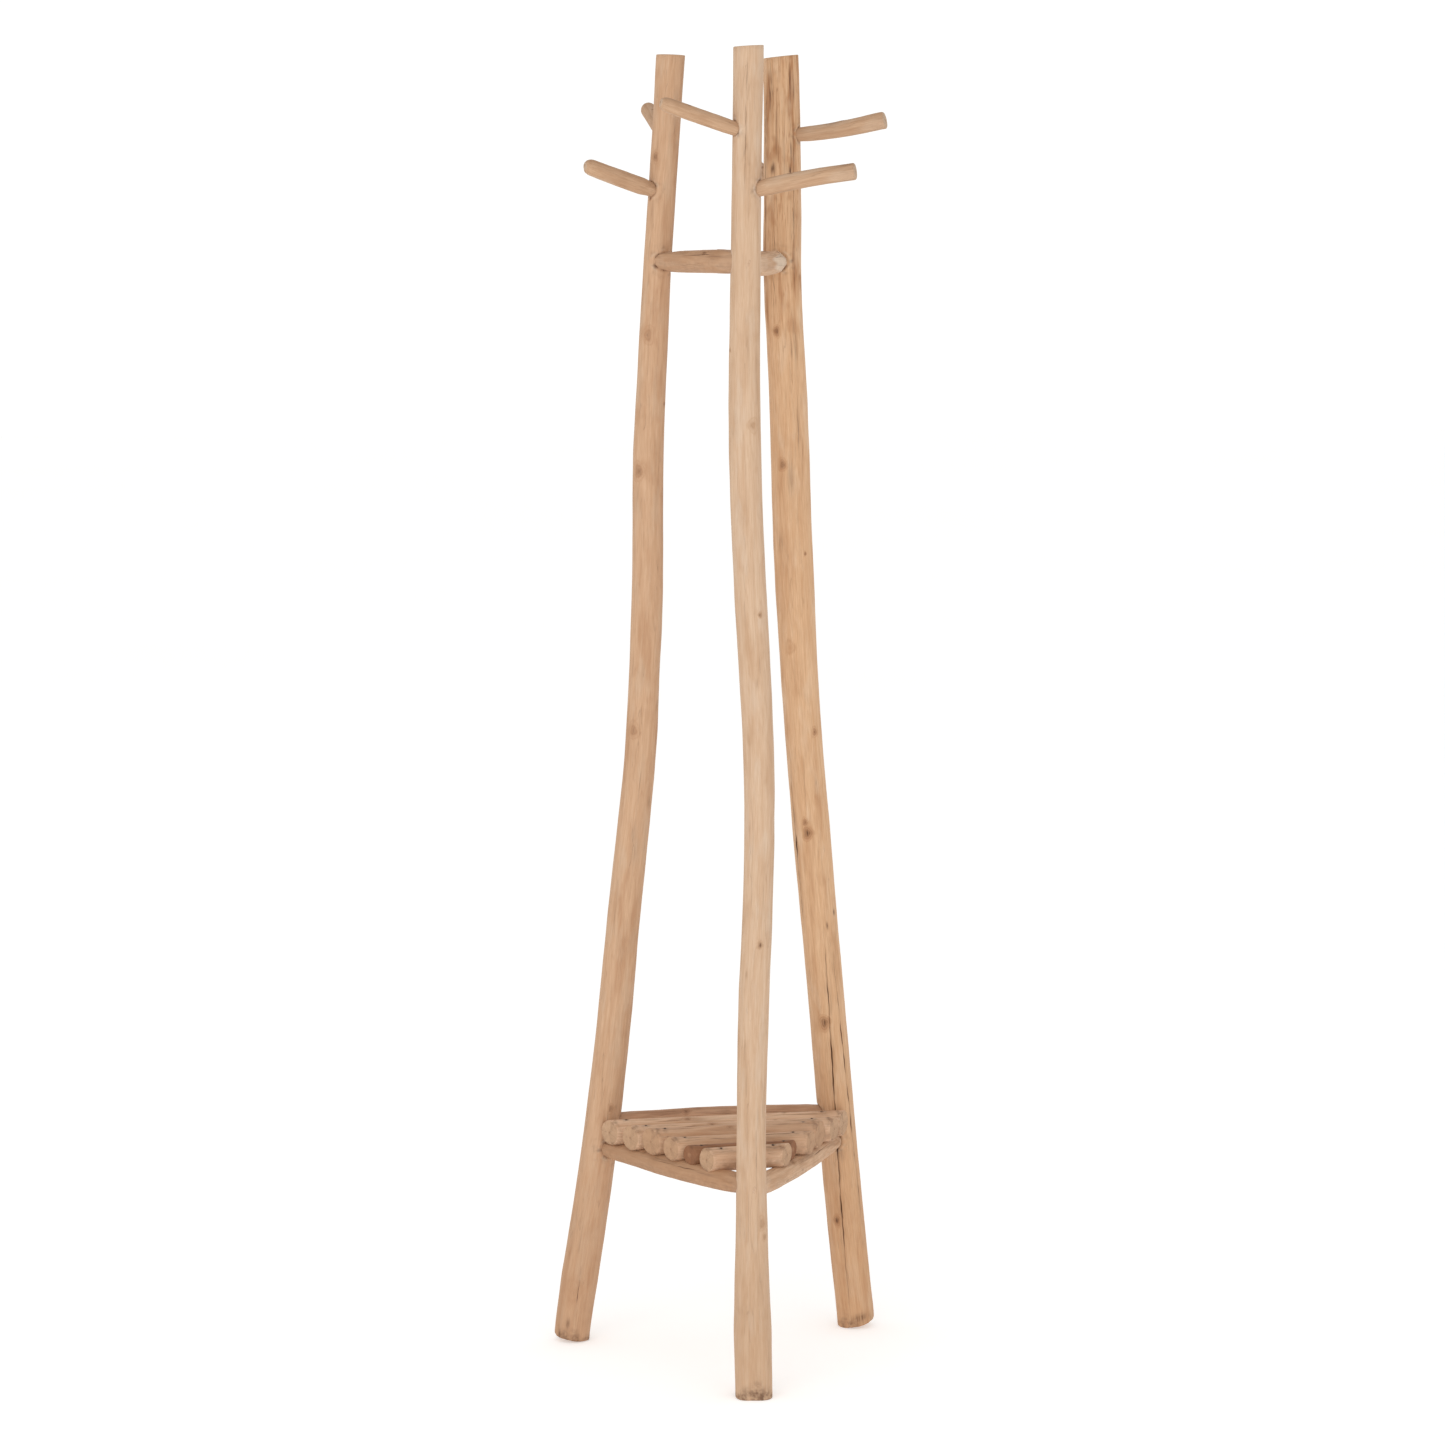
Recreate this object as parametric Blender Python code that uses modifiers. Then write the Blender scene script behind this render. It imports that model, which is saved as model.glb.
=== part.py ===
"""Standing coat rack of peeled branches, in metres, +Z up, standing on z = 0.

Three bent branch posts lean together as a tripod. Round rails with whittled tenons join the posts
near the top and low down. Six slats lie across the two front shelf rails and are nailed to them.
Two pegs stand out of each post. Every tenon sits in a bored socket, and a headless pin driven
through the post holds each rail. Nothing moves. The front post stands towards -Y.
"""

import math
from dataclasses import dataclass

import bmesh
import bpy
import numpy as np
from mathutils import Matrix, Vector

# Overall sizes, in metres
HEIGHT = 1.800  # floor to the top of the tallest post
FOOT_RADIUS = 0.237  # tripod axis to a post's centre line at the floor
TOP_RADIUS = 0.089  # tripod axis to a post's centre line at its top
TOP_RAIL_DROP = 0.288  # from HEIGHT down to the centre lines of the rails near the top
UPPER_PEG_DROP = 0.115  # from HEIGHT down to where an upper peg's line meets its post's centre line
LOWER_PEG_DROP = 0.193  # the same for a lower peg
SHELF_RAIL_HEIGHT = 0.279  # floor to the centre lines of the two front shelf rails
BACK_RAIL_RISE = 0.036  # how much higher the back shelf rail lies

# Joints
CLEARANCE = 0.0003  # air round every tenon, pin, nail and seat
RAIL_TENON = 0.015  # diameter of a rail's round tenon
TENON_DEPTH = 0.014  # how deep a rail's tenon enters its post
SIDE_AIM = 0.008  # where two rails enter a post at one height, each aims this far to its own side
STAGGER = 0.002  # and one lies this much above the middle height, the other as much below
PEG_TENON_PAST = 0.004  # how far a peg's tenon passes the post's centre line
SHOULDER_GAP = 0.002  # from a post's surface to where a tenon starts to swell
PEG_CONE = 0.010  # length over which a peg swells from its tenon
PIN_DIAMETER = 0.0025
PIN_GRIP = 0.020  # how far a pin runs into the rail past the tenon's end

# Shelf
SEAT_DEPTH = 0.0025  # how deep the slats are coped over the left rail's middle
POST_GAP = 0.0025  # from the rear slat to the posts behind it
FRONT_GAP = (0.018, 0.031)  # from the front slat to the front post, at its left and right ends
NAIL_SHANK = 0.0022
NAIL_HEAD = 0.0055
NAIL_HEAD_THICKNESS = 0.0012
NAIL_POINT = 0.004
NAIL_INSET = 0.008  # from a rail's centre line inwards to the nail
NAIL_PAST = 0.002  # how far a nail's point passes the rail's centre line

# Working allowances
OVERRUN = 0.04  # how much too long a branch is made before it is sawn off
LEAD_IN = 0.01  # how far outside a surface a drill starts

# Fineness of the round pieces
POST_SIDES = 16
RAIL_SIDES = 12
BORE_SIDES = 16
NAIL_SIDES = 8
POST_RINGS = 30


def smooth(x, positions, values):
    """Value at x of the cubic curve through values at positions, held constant past both ends."""
    x = min(max(x, positions[0]), positions[-1])
    slopes = np.gradient(values, positions)
    i = min(max(int(np.searchsorted(positions, x)) - 1, 0), len(positions) - 2)
    span = positions[i + 1] - positions[i]
    t = (x - positions[i]) / span
    start = values[i] * (1 + 2 * t) * (1 - t) ** 2 + slopes[i] * span * t * (1 - t) ** 2
    end = values[i + 1] * t * t * (3 - 2 * t) - slopes[i + 1] * span * t * t * (1 - t)
    return float(start + end)


def polar(radius, azimuth, z=0.0):
    """Point at a radius and an azimuth in degrees from +X."""
    angle = math.radians(azimuth)
    return Vector((radius * math.cos(angle), radius * math.sin(angle), z))


@dataclass(frozen=True)
class Post:
    """A branch post: where it stands round the tripod's axis, and how it bends and swells."""

    name: str
    foot_azimuth: float  # degrees
    top_azimuth: float
    drop: float  # how far its top stops below HEIGHT
    top_slope: float  # rise of the sawn top towards +X, per metre
    bends: tuple  # rows of (share of HEIGHT, inward bow, sideways bow, diameter)

    @property
    def top(self):
        """Height of the sawn top."""
        return HEIGHT - self.drop

    def column(self, z, index):
        """One column of bends at height z."""
        shares = [row[0] for row in self.bends]
        return smooth(z / HEIGHT, shares, [row[index] for row in self.bends])

    def radius(self, z):
        """Radius of the branch at height z."""
        return self.column(z, 3) / 2

    def centre(self, z):
        """Point of the centre line at height z."""
        foot = polar(FOOT_RADIUS, self.foot_azimuth)
        top = polar(TOP_RADIUS, self.top_azimuth, HEIGHT)
        inward = -polar(1.0, self.foot_azimuth)
        sideways = polar(1.0, self.foot_azimuth + 90)
        straight = foot.lerp(top, z / HEIGHT)
        return straight + inward * self.column(z, 1) + sideways * self.column(z, 2)


FRONT = Post("front_post", -91.5, -85, 0.0, 0.115, (
    (0.000, 0.000, -0.002, 0.0500),
    (0.055, 0.003, -0.003, 0.0505),
    (0.110, 0.006, -0.003, 0.0440),
    (0.220, 0.011, -0.001, 0.0395),
    (0.295, 0.014, 0.003, 0.0415),
    (0.370, 0.017, 0.010, 0.0405),
    (0.445, 0.019, 0.013, 0.0415),
    (0.520, 0.020, 0.009, 0.0425),
    (0.590, 0.019, 0.003, 0.0435),
    (0.665, 0.017, -0.003, 0.0430),
    (0.740, 0.014, -0.0055, 0.0430),
    (0.815, 0.010, -0.004, 0.0410),
    (0.935, 0.003, -0.001, 0.0400),
    (1.000, 0.000, 0.001, 0.0410),
))  # fmt: skip
LEFT = Post("left_post", 153, 150, 0.007, -0.035, (
    (0.000, 0.000, 0.000, 0.0490),
    (0.050, 0.006, 0.000, 0.0520),
    (0.135, 0.018, 0.000, 0.0495),
    (0.235, 0.0265, 0.000, 0.0480),
    (0.350, 0.030, -0.002, 0.0460),
    (0.465, 0.035, -0.002, 0.0435),
    (0.585, 0.028, 0.000, 0.0430),
    (0.700, 0.014, 0.001, 0.0420),
    (0.830, 0.0065, 0.000, 0.0385),
    (0.945, 0.003, 0.000, 0.0380),
    (1.000, 0.002, 0.000, 0.0395),
))  # fmt: skip
RIGHT = Post("right_post", 31, 30, 0.008, 0.100, (
    (0.000, 0.000, 0.000, 0.0530),
    (0.070, 0.008, 0.000, 0.0530),
    (0.185, 0.0165, 0.000, 0.0525),
    (0.265, 0.021, 0.000, 0.0510),
    (0.385, 0.0295, 0.000, 0.0520),
    (0.505, 0.035, 0.000, 0.0515),
    (0.620, 0.033, 0.000, 0.0540),
    (0.735, 0.0255, 0.000, 0.0525),
    (0.830, 0.023, 0.000, 0.0520),
    (0.890, 0.014, 0.000, 0.0515),
    (0.945, 0.007, 0.000, 0.0500),
    (1.000, 0.001, 0.000, 0.0480),
))  # fmt: skip
POSTS = (FRONT, LEFT, RIGHT)


@dataclass(frozen=True)
class Rail:
    """A branch rail between two posts, whittled to a tenon at each end."""

    name: str
    posts: tuple  # the two posts, in order
    heights: tuple  # of its line at each post
    aims: tuple  # how far it aims to its right of each post's centre, looking along it
    diameters: tuple  # past the first cone, in the middle, before the second cone
    cones: tuple  # length of each whittled cone
    bow: tuple  # sideways and upward bow in the middle

    def ends(self):
        """The two points that its straight line joins, and its direction."""
        centres = [post.centre(z) for post, z in zip(self.posts, self.heights)]
        along = (centres[1] - centres[0]).to_2d().normalized().to_3d()
        right = Vector((along.y, -along.x, 0.0))
        start, end = (centre + right * aim for centre, aim in zip(centres, self.aims))
        return start, end, (end - start).normalized()

    def line(self):
        """Points of its centre line and its radius at each, from tenon end to tenon end."""
        start, end, along = self.ends()
        length = (end - start).length
        exits = (
            exit_distance(start, along, self.posts[0]) + SHOULDER_GAP,
            length - exit_distance(end, -along, self.posts[1]) - SHOULDER_GAP,
        )
        body = (exits[0] + self.cones[0], exits[1] - self.cones[1])
        tenon = RAIL_TENON / 2
        half = [diameter / 2 for diameter in self.diameters]
        stops = [(exits[0] - SHOULDER_GAP - TENON_DEPTH, tenon), (exits[0], tenon)]
        stops.append(((exits[0] + body[0]) / 2, (tenon + 2 * half[0]) / 3))
        for step in range(9):
            share = step / 8
            stops.append((body[0] + (body[1] - body[0]) * share, smooth(share, (0, 0.5, 1), half)))
        stops.append(((exits[1] + body[1]) / 2, (tenon + 2 * half[2]) / 3))
        stops += [(exits[1], tenon), (exits[1] + SHOULDER_GAP + TENON_DEPTH, tenon)]
        side = Vector((along.y, -along.x, 0.0))
        points = []
        for distance, _ in stops:
            share = min(max((distance - exits[0]) / (exits[1] - exits[0]), 0), 1)
            swing = math.sin(math.pi * share) ** 2
            bow = side * self.bow[0] + Vector((0, 0, self.bow[1]))
            points.append(start + along * distance + bow * swing)
        return points, [radius for _, radius in stops]


def exit_distance(start, along, post):
    """Distance from start, inside a post, to where a line along a direction leaves its surface."""
    centre = post.centre(start.z)
    offset = (start - centre).to_2d()
    flat = along.to_2d()
    scale = flat.length
    flat = flat / scale
    beside = offset.dot(flat)
    return (-beside + math.sqrt(beside**2 - offset.length_squared + post.radius(start.z) ** 2)) / scale


TOP_RAIL_HEIGHT = HEIGHT - TOP_RAIL_DROP
TOP_RAILS = (
    Rail("top_left_rail", (LEFT, FRONT), (TOP_RAIL_HEIGHT + STAGGER, TOP_RAIL_HEIGHT + STAGGER),
         (SIDE_AIM, SIDE_AIM), (0.0245, 0.0280, 0.0325), (0.009, 0.010), (0.0, 0.001)),
    Rail("top_right_rail", (FRONT, RIGHT), (TOP_RAIL_HEIGHT - STAGGER, TOP_RAIL_HEIGHT + STAGGER),
         (SIDE_AIM, 0.004), (0.0320, 0.0335, 0.0330), (0.010, 0.024), (0.0, 0.0)),
    Rail("top_back_rail", (RIGHT, LEFT), (TOP_RAIL_HEIGHT - STAGGER, TOP_RAIL_HEIGHT - STAGGER),
         (SIDE_AIM, SIDE_AIM), (0.0240, 0.0245, 0.0230), (0.012, 0.012), (0.002, 0.0)),
)  # fmt: skip
SHELF_LEFT_RAIL = Rail(
    "shelf_left_rail", (LEFT, FRONT), (SHELF_RAIL_HEIGHT, SHELF_RAIL_HEIGHT + STAGGER),
    (0.0, SIDE_AIM), (0.0255, 0.0290, 0.0290), (0.018, 0.014), (0.004, 0.000))  # fmt: skip
SHELF_RIGHT_RAIL = Rail(
    "shelf_right_rail", (FRONT, RIGHT), (SHELF_RAIL_HEIGHT - STAGGER, SHELF_RAIL_HEIGHT - 0.002),
    (SIDE_AIM, 0.0), (0.0285, 0.0290, 0.0280), (0.007, 0.008), (0.005, 0.001))  # fmt: skip
BACK_RAIL_HEIGHT = SHELF_RAIL_HEIGHT + BACK_RAIL_RISE
SHELF_BACK_RAIL = Rail(
    "shelf_back_rail", (RIGHT, LEFT), (BACK_RAIL_HEIGHT - 0.003, BACK_RAIL_HEIGHT),
    (0.0, 0.0), (0.0300, 0.0310, 0.0260), (0.002, 0.006), (0.0, 0.001))  # fmt: skip
RAILS = TOP_RAILS + (SHELF_LEFT_RAIL, SHELF_RIGHT_RAIL, SHELF_BACK_RAIL)


@dataclass(frozen=True)
class Peg:
    """A coat peg: a short branch in a sloping bore, with a rounded tip."""

    name: str
    post: Post
    height: float  # where its line meets the post's centre line
    azimuth: float
    rise: float  # slope of the bore, degrees
    curl: float  # how far the tip lifts off the bore's line
    length: float  # from the post's centre line to the tip
    diameters: tuple  # of the tenon, the body and near the tip

    def direction(self):
        """Unit vector along the bore, outwards."""
        rise = math.radians(self.rise)
        return polar(math.cos(rise), self.azimuth, math.sin(rise))

    def line(self):
        """Points of its centre line and its radius at each, from the tenon's end to the tip."""
        start, along = self.post.centre(self.height), self.direction()
        tenon, body, tip = (diameter / 2 for diameter in self.diameters)
        leave = exit_distance(start, along, self.post) + SHOULDER_GAP
        stops = [(-PEG_TENON_PAST, tenon), (leave, tenon)]
        swell = leave + PEG_CONE
        dome = self.length - tip
        for step in range(6):
            share = step / 5
            stops.append((swell + (dome - swell) * share, body + (tip - body) * share))
        for angle in (25, 50, 70):
            turn = math.radians(angle)
            stops.append((dome + tip * math.sin(turn), tip * math.cos(turn)))
        points = []
        for distance, _ in stops:
            share = max(distance - leave, 0) / (self.length - leave)
            points.append(start + along * distance + Vector((0, 0, self.curl * share**2)))
        return points, [radius for _, radius in stops]


UPPER_PEG_HEIGHT = HEIGHT - UPPER_PEG_DROP
LOWER_PEG_HEIGHT = HEIGHT - LOWER_PEG_DROP
PEGS = (
    Peg("front_upper_peg", FRONT, UPPER_PEG_HEIGHT, 192, 17, 0.001, 0.131, (0.0190, 0.0200, 0.0195)),
    Peg("front_lower_peg", FRONT, LOWER_PEG_HEIGHT, -22, 13, -0.008, 0.153, (0.0210, 0.0235, 0.0225)),
    Peg("left_upper_peg", LEFT, UPPER_PEG_HEIGHT, 94, 19, 0.000, 0.126, (0.0200, 0.0235, 0.0220)),
    Peg("left_lower_peg", LEFT, LOWER_PEG_HEIGHT, 200, 16, 0.003, 0.125, (0.0200, 0.0235, 0.0220)),
    Peg("right_upper_peg", RIGHT, UPPER_PEG_HEIGHT, -25, 4, 0.011, 0.147, (0.0190, 0.0205, 0.0235)),
    Peg("right_lower_peg", RIGHT, LOWER_PEG_HEIGHT, 100, 19, 0.000, 0.130, (0.0210, 0.0235, 0.0220)),
)  # fmt: skip


@dataclass(frozen=True)
class Slat:
    """A shelf slat, resting on the two front rails and sawn off in line with them."""

    name: str
    diameter: float
    behind: tuple  # share of the row's spare room that lies behind it, at its left and right ends
    overhang: tuple  # how far its left and right ends pass the rails' centre lines
    lift: float  # how much higher than the others its underside lies


SLATS = (
    Slat("slat_1", 0.0355, (0.000, 0.000), (0.0145, 0.0210), -0.0005),
    Slat("slat_2", 0.0345, (0.330, 0.374), (0.0130, 0.0210), 0.0005),
    Slat("slat_3", 0.0380, (0.206, 0.166), (0.0110, 0.0140), 0.0008),
    Slat("slat_4", 0.0330, (0.197, 0.197), (0.0110, 0.0150), 0.0008),
    Slat("slat_5", 0.0280, (0.020, 0.072), (0.0080, 0.0045), 0.0005),
    Slat("slat_6", 0.0325, (0.247, 0.191), (0.0120, 0.0100), -0.0010),
)
DECK_HEIGHT = SHELF_RAIL_HEIGHT + SHELF_LEFT_RAIL.diameters[1] / 2 - SEAT_DEPTH  # slats' undersides


def collection(name):
    """A new collection linked to the scene."""
    made = bpy.data.collections.new(name)
    bpy.context.scene.collection.children.link(made)
    return made


def wood(name, colour, roughness):
    """Bare teak of one tone."""
    made = bpy.data.materials.new(name)
    made.use_nodes = True
    shader = made.node_tree.nodes["Principled BSDF"]
    shader.inputs["Base Color"].default_value = (*colour, 1.0)
    shader.inputs["Roughness"].default_value = roughness
    return made


def steel(name, colour, roughness):
    """Plain nail steel."""
    made = wood(name, colour, roughness)
    made.node_tree.nodes["Principled BSDF"].inputs["Metallic"].default_value = 1.0
    return made


def branch(name, points, radii, sides, group):
    """Round tube through points, with its own radius at each, as a closed mesh object."""
    curve = bpy.data.curves.new(name, "CURVE")
    curve.dimensions = "3D"
    curve.bevel_depth = 1.0  # so that each point's radius is in metres
    curve.bevel_resolution = (sides - 4) // 2
    curve.use_fill_caps = True
    spline = curve.splines.new("POLY")
    spline.points.add(len(points) - 1)
    for knot, point, radius in zip(spline.points, points, radii):
        knot.co = (*point, 1.0)
        knot.radius = radius
    tube = bpy.data.objects.new(name + "_curve", curve)
    bpy.context.scene.collection.objects.link(tube)
    graph = bpy.context.evaluated_depsgraph_get()
    mesh = bpy.data.meshes.new_from_object(tube.evaluated_get(graph))
    bpy.data.objects.remove(tube)
    bpy.data.curves.remove(curve)
    mesh.name = name
    form = bmesh.new()
    form.from_mesh(mesh)
    bmesh.ops.remove_doubles(form, verts=form.verts, dist=0.00001)
    bmesh.ops.recalc_face_normals(form, faces=form.faces)
    form.to_mesh(mesh)
    form.free()
    made = bpy.data.objects.new(name, mesh)
    group.objects.link(made)
    return made


def saw(target, point, outwards):
    """Cuts a mesh object off flat at a plane and closes the cut."""
    form = bmesh.new()
    form.from_mesh(target.data)
    everything = form.verts[:] + form.edges[:] + form.faces[:]
    cut = bmesh.ops.bisect_plane(
        form, geom=everything, plane_co=point, plane_no=outwards, clear_outer=True)  # fmt: skip
    edges = [item for item in cut["geom_cut"] if isinstance(item, bmesh.types.BMEdge)]
    bmesh.ops.edgeloop_fill(form, edges=edges)
    bmesh.ops.recalc_face_normals(form, faces=form.faces)
    form.to_mesh(target.data)
    form.free()


def finish_piece(made, material):
    """Gives a piece its material and smooth shading between sharp edges."""
    made.data.materials.clear()
    made.data.materials.append(material)
    made.data.shade_smooth()
    made.data.set_sharp_from_angle(angle=math.radians(35))


def hide_cutter(cutter):
    """Marks an object as a cutter."""
    cutter.hide_render = True
    cutter.display_type = "WIRE"


def subtract(target, cutter):
    """Takes a cutter's shape out of a piece."""
    cut = target.modifiers.new(cutter.name, "BOOLEAN")
    cut.operation = "DIFFERENCE"
    cut.solver = "EXACT"
    cut.object = cutter


def bore(name, start, end, radius, cutters, *targets):
    """Drills a round hole from start to end through each target."""
    form = bmesh.new()
    depth = (end - start).length
    bmesh.ops.create_cone(
        form, cap_ends=True, segments=BORE_SIDES, radius1=radius, radius2=radius, depth=depth)  # fmt: skip
    mesh = bpy.data.meshes.new(name)
    form.to_mesh(mesh)
    form.free()
    cutter = bpy.data.objects.new(name, mesh)
    turn = (end - start).to_track_quat("Z", "Y")
    cutter.matrix_world = Matrix.LocRotScale((start + end) / 2, turn, None)
    cutters.objects.link(cutter)
    hide_cutter(cutter)
    for target in targets:
        subtract(target, cutter)


def turned(name, profile, head, down, sides, group):
    """Turned piece with its top centre at head, pointing down: profile is (radius, depth) pairs."""
    mesh = bpy.data.meshes.new(name)
    form = bmesh.new()
    corners = [form.verts.new((radius, 0.0, -depth)) for radius, depth in profile]
    for above, below in zip(corners, corners[1:]):
        form.edges.new((above, below))
    form.to_mesh(mesh)
    form.free()
    made = bpy.data.objects.new(name, mesh)
    group.objects.link(made)
    made.matrix_world = Matrix.LocRotScale(head, (-down).to_track_quat("Z", "Y"), None)
    screw = made.modifiers.new("turn", "SCREW")
    screw.steps = screw.render_steps = sides
    screw.use_merge_vertices = True
    screw.merge_threshold = 0.00005
    return made


def make_posts(rack, tones):
    """The three posts, sawn flat at the floor and at the top."""
    made = {}
    for post in POSTS:
        heights = np.linspace(-OVERRUN, HEIGHT + OVERRUN, POST_RINGS)
        points = [post.centre(z) for z in heights]
        radii = [post.radius(z) for z in heights]
        piece = branch(post.name, points, radii, POST_SIDES, rack)
        saw(piece, Vector((0, 0, 0)), Vector((0, 0, -1)))
        saw(piece, post.centre(post.top), Vector((-post.top_slope, 0, 1)).normalized())
        finish_piece(piece, tones[post.name])
        made[post.name] = piece
    return made


def make_pegs(rack, cutters, posts, tone):
    """The six pegs, each in a sloping blind bore."""
    for peg in PEGS:
        points, radii = peg.line()
        piece = branch(peg.name, points, radii, RAIL_SIDES, rack)
        finish_piece(piece, tone)
        start, along = peg.post.centre(peg.height), peg.direction()
        bottom = start - along * (PEG_TENON_PAST + CLEARANCE)
        mouth = start + along * (peg.post.radius(peg.height) * 2)
        radius = peg.diameters[0] / 2 + CLEARANCE
        bore(peg.name + "_bore", bottom, mouth, radius, cutters, posts[peg.post.name])


def make_rails(rack, cutters, posts, tones):
    """The six rails, their sockets, and the headless pins that hold them."""
    made = {}
    for rail in RAILS:
        points, radii = rail.line()
        piece = branch(rail.name, points, radii, RAIL_SIDES, rack)
        finish_piece(piece, tones["rail"])
        made[rail.name] = piece
        start, end, along = rail.ends()
        for post, aim, outwards in zip(rail.posts, (start, end), (along, -along)):
            side = post.name.removesuffix("_post")
            target = posts[post.name]
            leave = exit_distance(aim, outwards, post)
            bottom = aim + outwards * (leave - TENON_DEPTH - CLEARANCE)
            mouth = aim + outwards * (leave * 2)
            name = f"{rail.name}_{side}"
            bore(name + "_bore", bottom, mouth, RAIL_TENON / 2 + CLEARANCE, cutters, target)
            head = aim - outwards * exit_distance(aim, -outwards, post)
            tip = aim + outwards * (leave - TENON_DEPTH + PIN_GRIP)
            length = (tip - head).length
            pin = PIN_DIAMETER / 2
            profile = ((0, 0), (pin, 0), (pin, length - 2 * pin), (0, length))
            finish_piece(turned(name + "_pin", profile, head, outwards, NAIL_SIDES, rack), tones["nail"])
            outside = head - outwards * LEAD_IN
            bore(name + "_pin_hole", outside, tip + outwards * CLEARANCE, pin + CLEARANCE,
                 cutters, target, piece)  # fmt: skip
    return made


def rail_crossing(rail, y):
    """Point of a rail's centre line at a given y."""
    points = sorted(rail.line()[0], key=lambda point: point.y)
    places = [point.y for point in points]
    return Vector([float(np.interp(y, places, [point[axis] for point in points])) for axis in range(3)])


def slat_seats(slat):
    """Where a slat's centre line crosses the left and right rails, and the rails' points below."""
    earlier = SLATS[: SLATS.index(slat)]
    seats = []
    for end, (rail, post) in enumerate(((SHELF_LEFT_RAIL, LEFT), (SHELF_RIGHT_RAIL, RIGHT))):
        rear = post.centre(DECK_HEIGHT).y - post.radius(DECK_HEIGHT) - POST_GAP
        front = FRONT.centre(DECK_HEIGHT).y + FRONT.radius(DECK_HEIGHT) + FRONT_GAP[end]
        spare = rear - front - sum(each.diameter for each in SLATS)
        taken = sum(each.diameter + spare * each.behind[end] for each in earlier)
        below = rail_crossing(rail, rear - taken - spare * slat.behind[end] - slat.diameter / 2)
        seats.append((Vector((below.x, below.y, DECK_HEIGHT + slat.lift + slat.diameter / 2)), below))
    return seats


def make_slats(rack, cutters, rails, tones):
    """The six slats, coped over the rails, sawn off along them and nailed down."""
    seat_rails = (SHELF_LEFT_RAIL, SHELF_RIGHT_RAIL)
    seat_cutters = []
    for rail in seat_rails:
        points, radii = rail.line()
        wide = [radius + CLEARANCE for radius in radii]
        seat = branch(rail.name + "_seat", points, wide, RAIL_SIDES, cutters)
        hide_cutter(seat)
        seat_cutters.append(seat)
    for slat in SLATS:
        (left, left_below), (right, right_below) = slat_seats(slat)
        along = (right - left).normalized()
        span = (right - left).length + 2 * OVERRUN
        points = []
        for step in range(5):
            points.append(left + along * (span * step / 4 - OVERRUN))
        piece = branch(slat.name, points, [slat.diameter / 2] * len(points), RAIL_SIDES, rack)
        for rail, below, overhang in zip(seat_rails, (left_below, right_below), slat.overhang):
            direction = rail.ends()[2]
            outwards = Vector((direction.y, -direction.x, 0.0)).normalized()
            saw(piece, below + outwards * overhang, outwards)
        finish_piece(piece, tones["slat"])
        for seat in seat_cutters:
            subtract(piece, seat)
        for side, centre, below in (("left", left, left_below), ("right", right, right_below)):
            inset = along * (NAIL_INSET if side == "left" else -NAIL_INSET)
            nail_down(slat, side, centre + inset, below + inset, piece, rails, rack, cutters, tones["nail"])


def nail_down(slat, side, centre, below, piece, rails, rack, cutters, tone):
    """One nail through a slat's end into the rail below, its head flush with the slat's top."""
    head = centre + Vector((0, 0, slat.diameter / 2))
    length = head.z - below.z + NAIL_PAST
    shank, cap = NAIL_SHANK / 2, NAIL_HEAD / 2
    profile = ((0, 0), (cap, 0), (cap, NAIL_HEAD_THICKNESS), (shank, NAIL_HEAD_THICKNESS),
               (shank, length - NAIL_POINT), (0, length))  # fmt: skip
    down = Vector((0, 0, -1))
    name = f"{slat.name}_{side}"
    finish_piece(turned(name + "_nail", profile, head, down, NAIL_SIDES, rack), tone)
    seat = head + down * (NAIL_HEAD_THICKNESS + CLEARANCE)
    bore(name + "_nail_head", head - down * LEAD_IN, seat, cap + CLEARANCE, cutters, piece)
    bore(name + "_nail_hole", head, head + down * (length + CLEARANCE), shank + CLEARANCE,
         cutters, piece, rails[f"shelf_{side}_rail"])  # fmt: skip


def stand_on_origin(group):
    """Moves every piece and cutter so that the box round the rack is centred on the Z axis."""
    graph = bpy.context.evaluated_depsgraph_get()
    corners = []
    for piece in bpy.data.collections[group].objects:
        solid = piece.evaluated_get(graph)
        corners += [solid.matrix_world @ Vector(corner) for corner in solid.bound_box]
    shift = Vector([-(min(p[axis] for p in corners) + max(p[axis] for p in corners)) / 2 for axis in (0, 1)])
    for piece in bpy.data.objects:
        piece.matrix_world = Matrix.Translation(shift.to_3d()) @ piece.matrix_world


def main():
    """Builds the whole rack."""
    for old in list(bpy.data.objects):
        bpy.data.objects.remove(old)
    rack = collection("coat_rack")
    cutters = collection("cutters")
    tones = {
        "front_post": wood("pale_teak", (0.60, 0.40, 0.25), 0.62),
        "left_post": wood("teak", (0.58, 0.36, 0.21), 0.62),
        "right_post": wood("warm_teak", (0.55, 0.33, 0.18), 0.60),
        "peg": wood("peg_teak", (0.52, 0.31, 0.17), 0.60),
        "rail": wood("rail_teak", (0.52, 0.31, 0.18), 0.62),
        "slat": wood("slat_teak", (0.54, 0.34, 0.20), 0.64),
        "nail": steel("nail_steel", (0.20, 0.17, 0.15), 0.50),
    }
    posts = make_posts(rack, tones)
    make_pegs(rack, cutters, posts, tones["peg"])
    rails = make_rails(rack, cutters, posts, tones)
    make_slats(rack, cutters, rails, tones)
    stand_on_origin("coat_rack")


main()
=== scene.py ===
"""Looks of a tripod coat rack made of peeled teak branches.

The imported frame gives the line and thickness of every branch. Each one is rebuilt here as hand-peeled wood,
with swellings, knots, drying cracks, whittled ends and sawn faces. Nails hold the shelf's slats, and filler
hides the pins in the rails' tenons.
"""

import logging
import math
from dataclasses import dataclass, field, replace
from enum import Enum

import bpy
import numpy as np
from mathutils import Matrix, Vector


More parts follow.
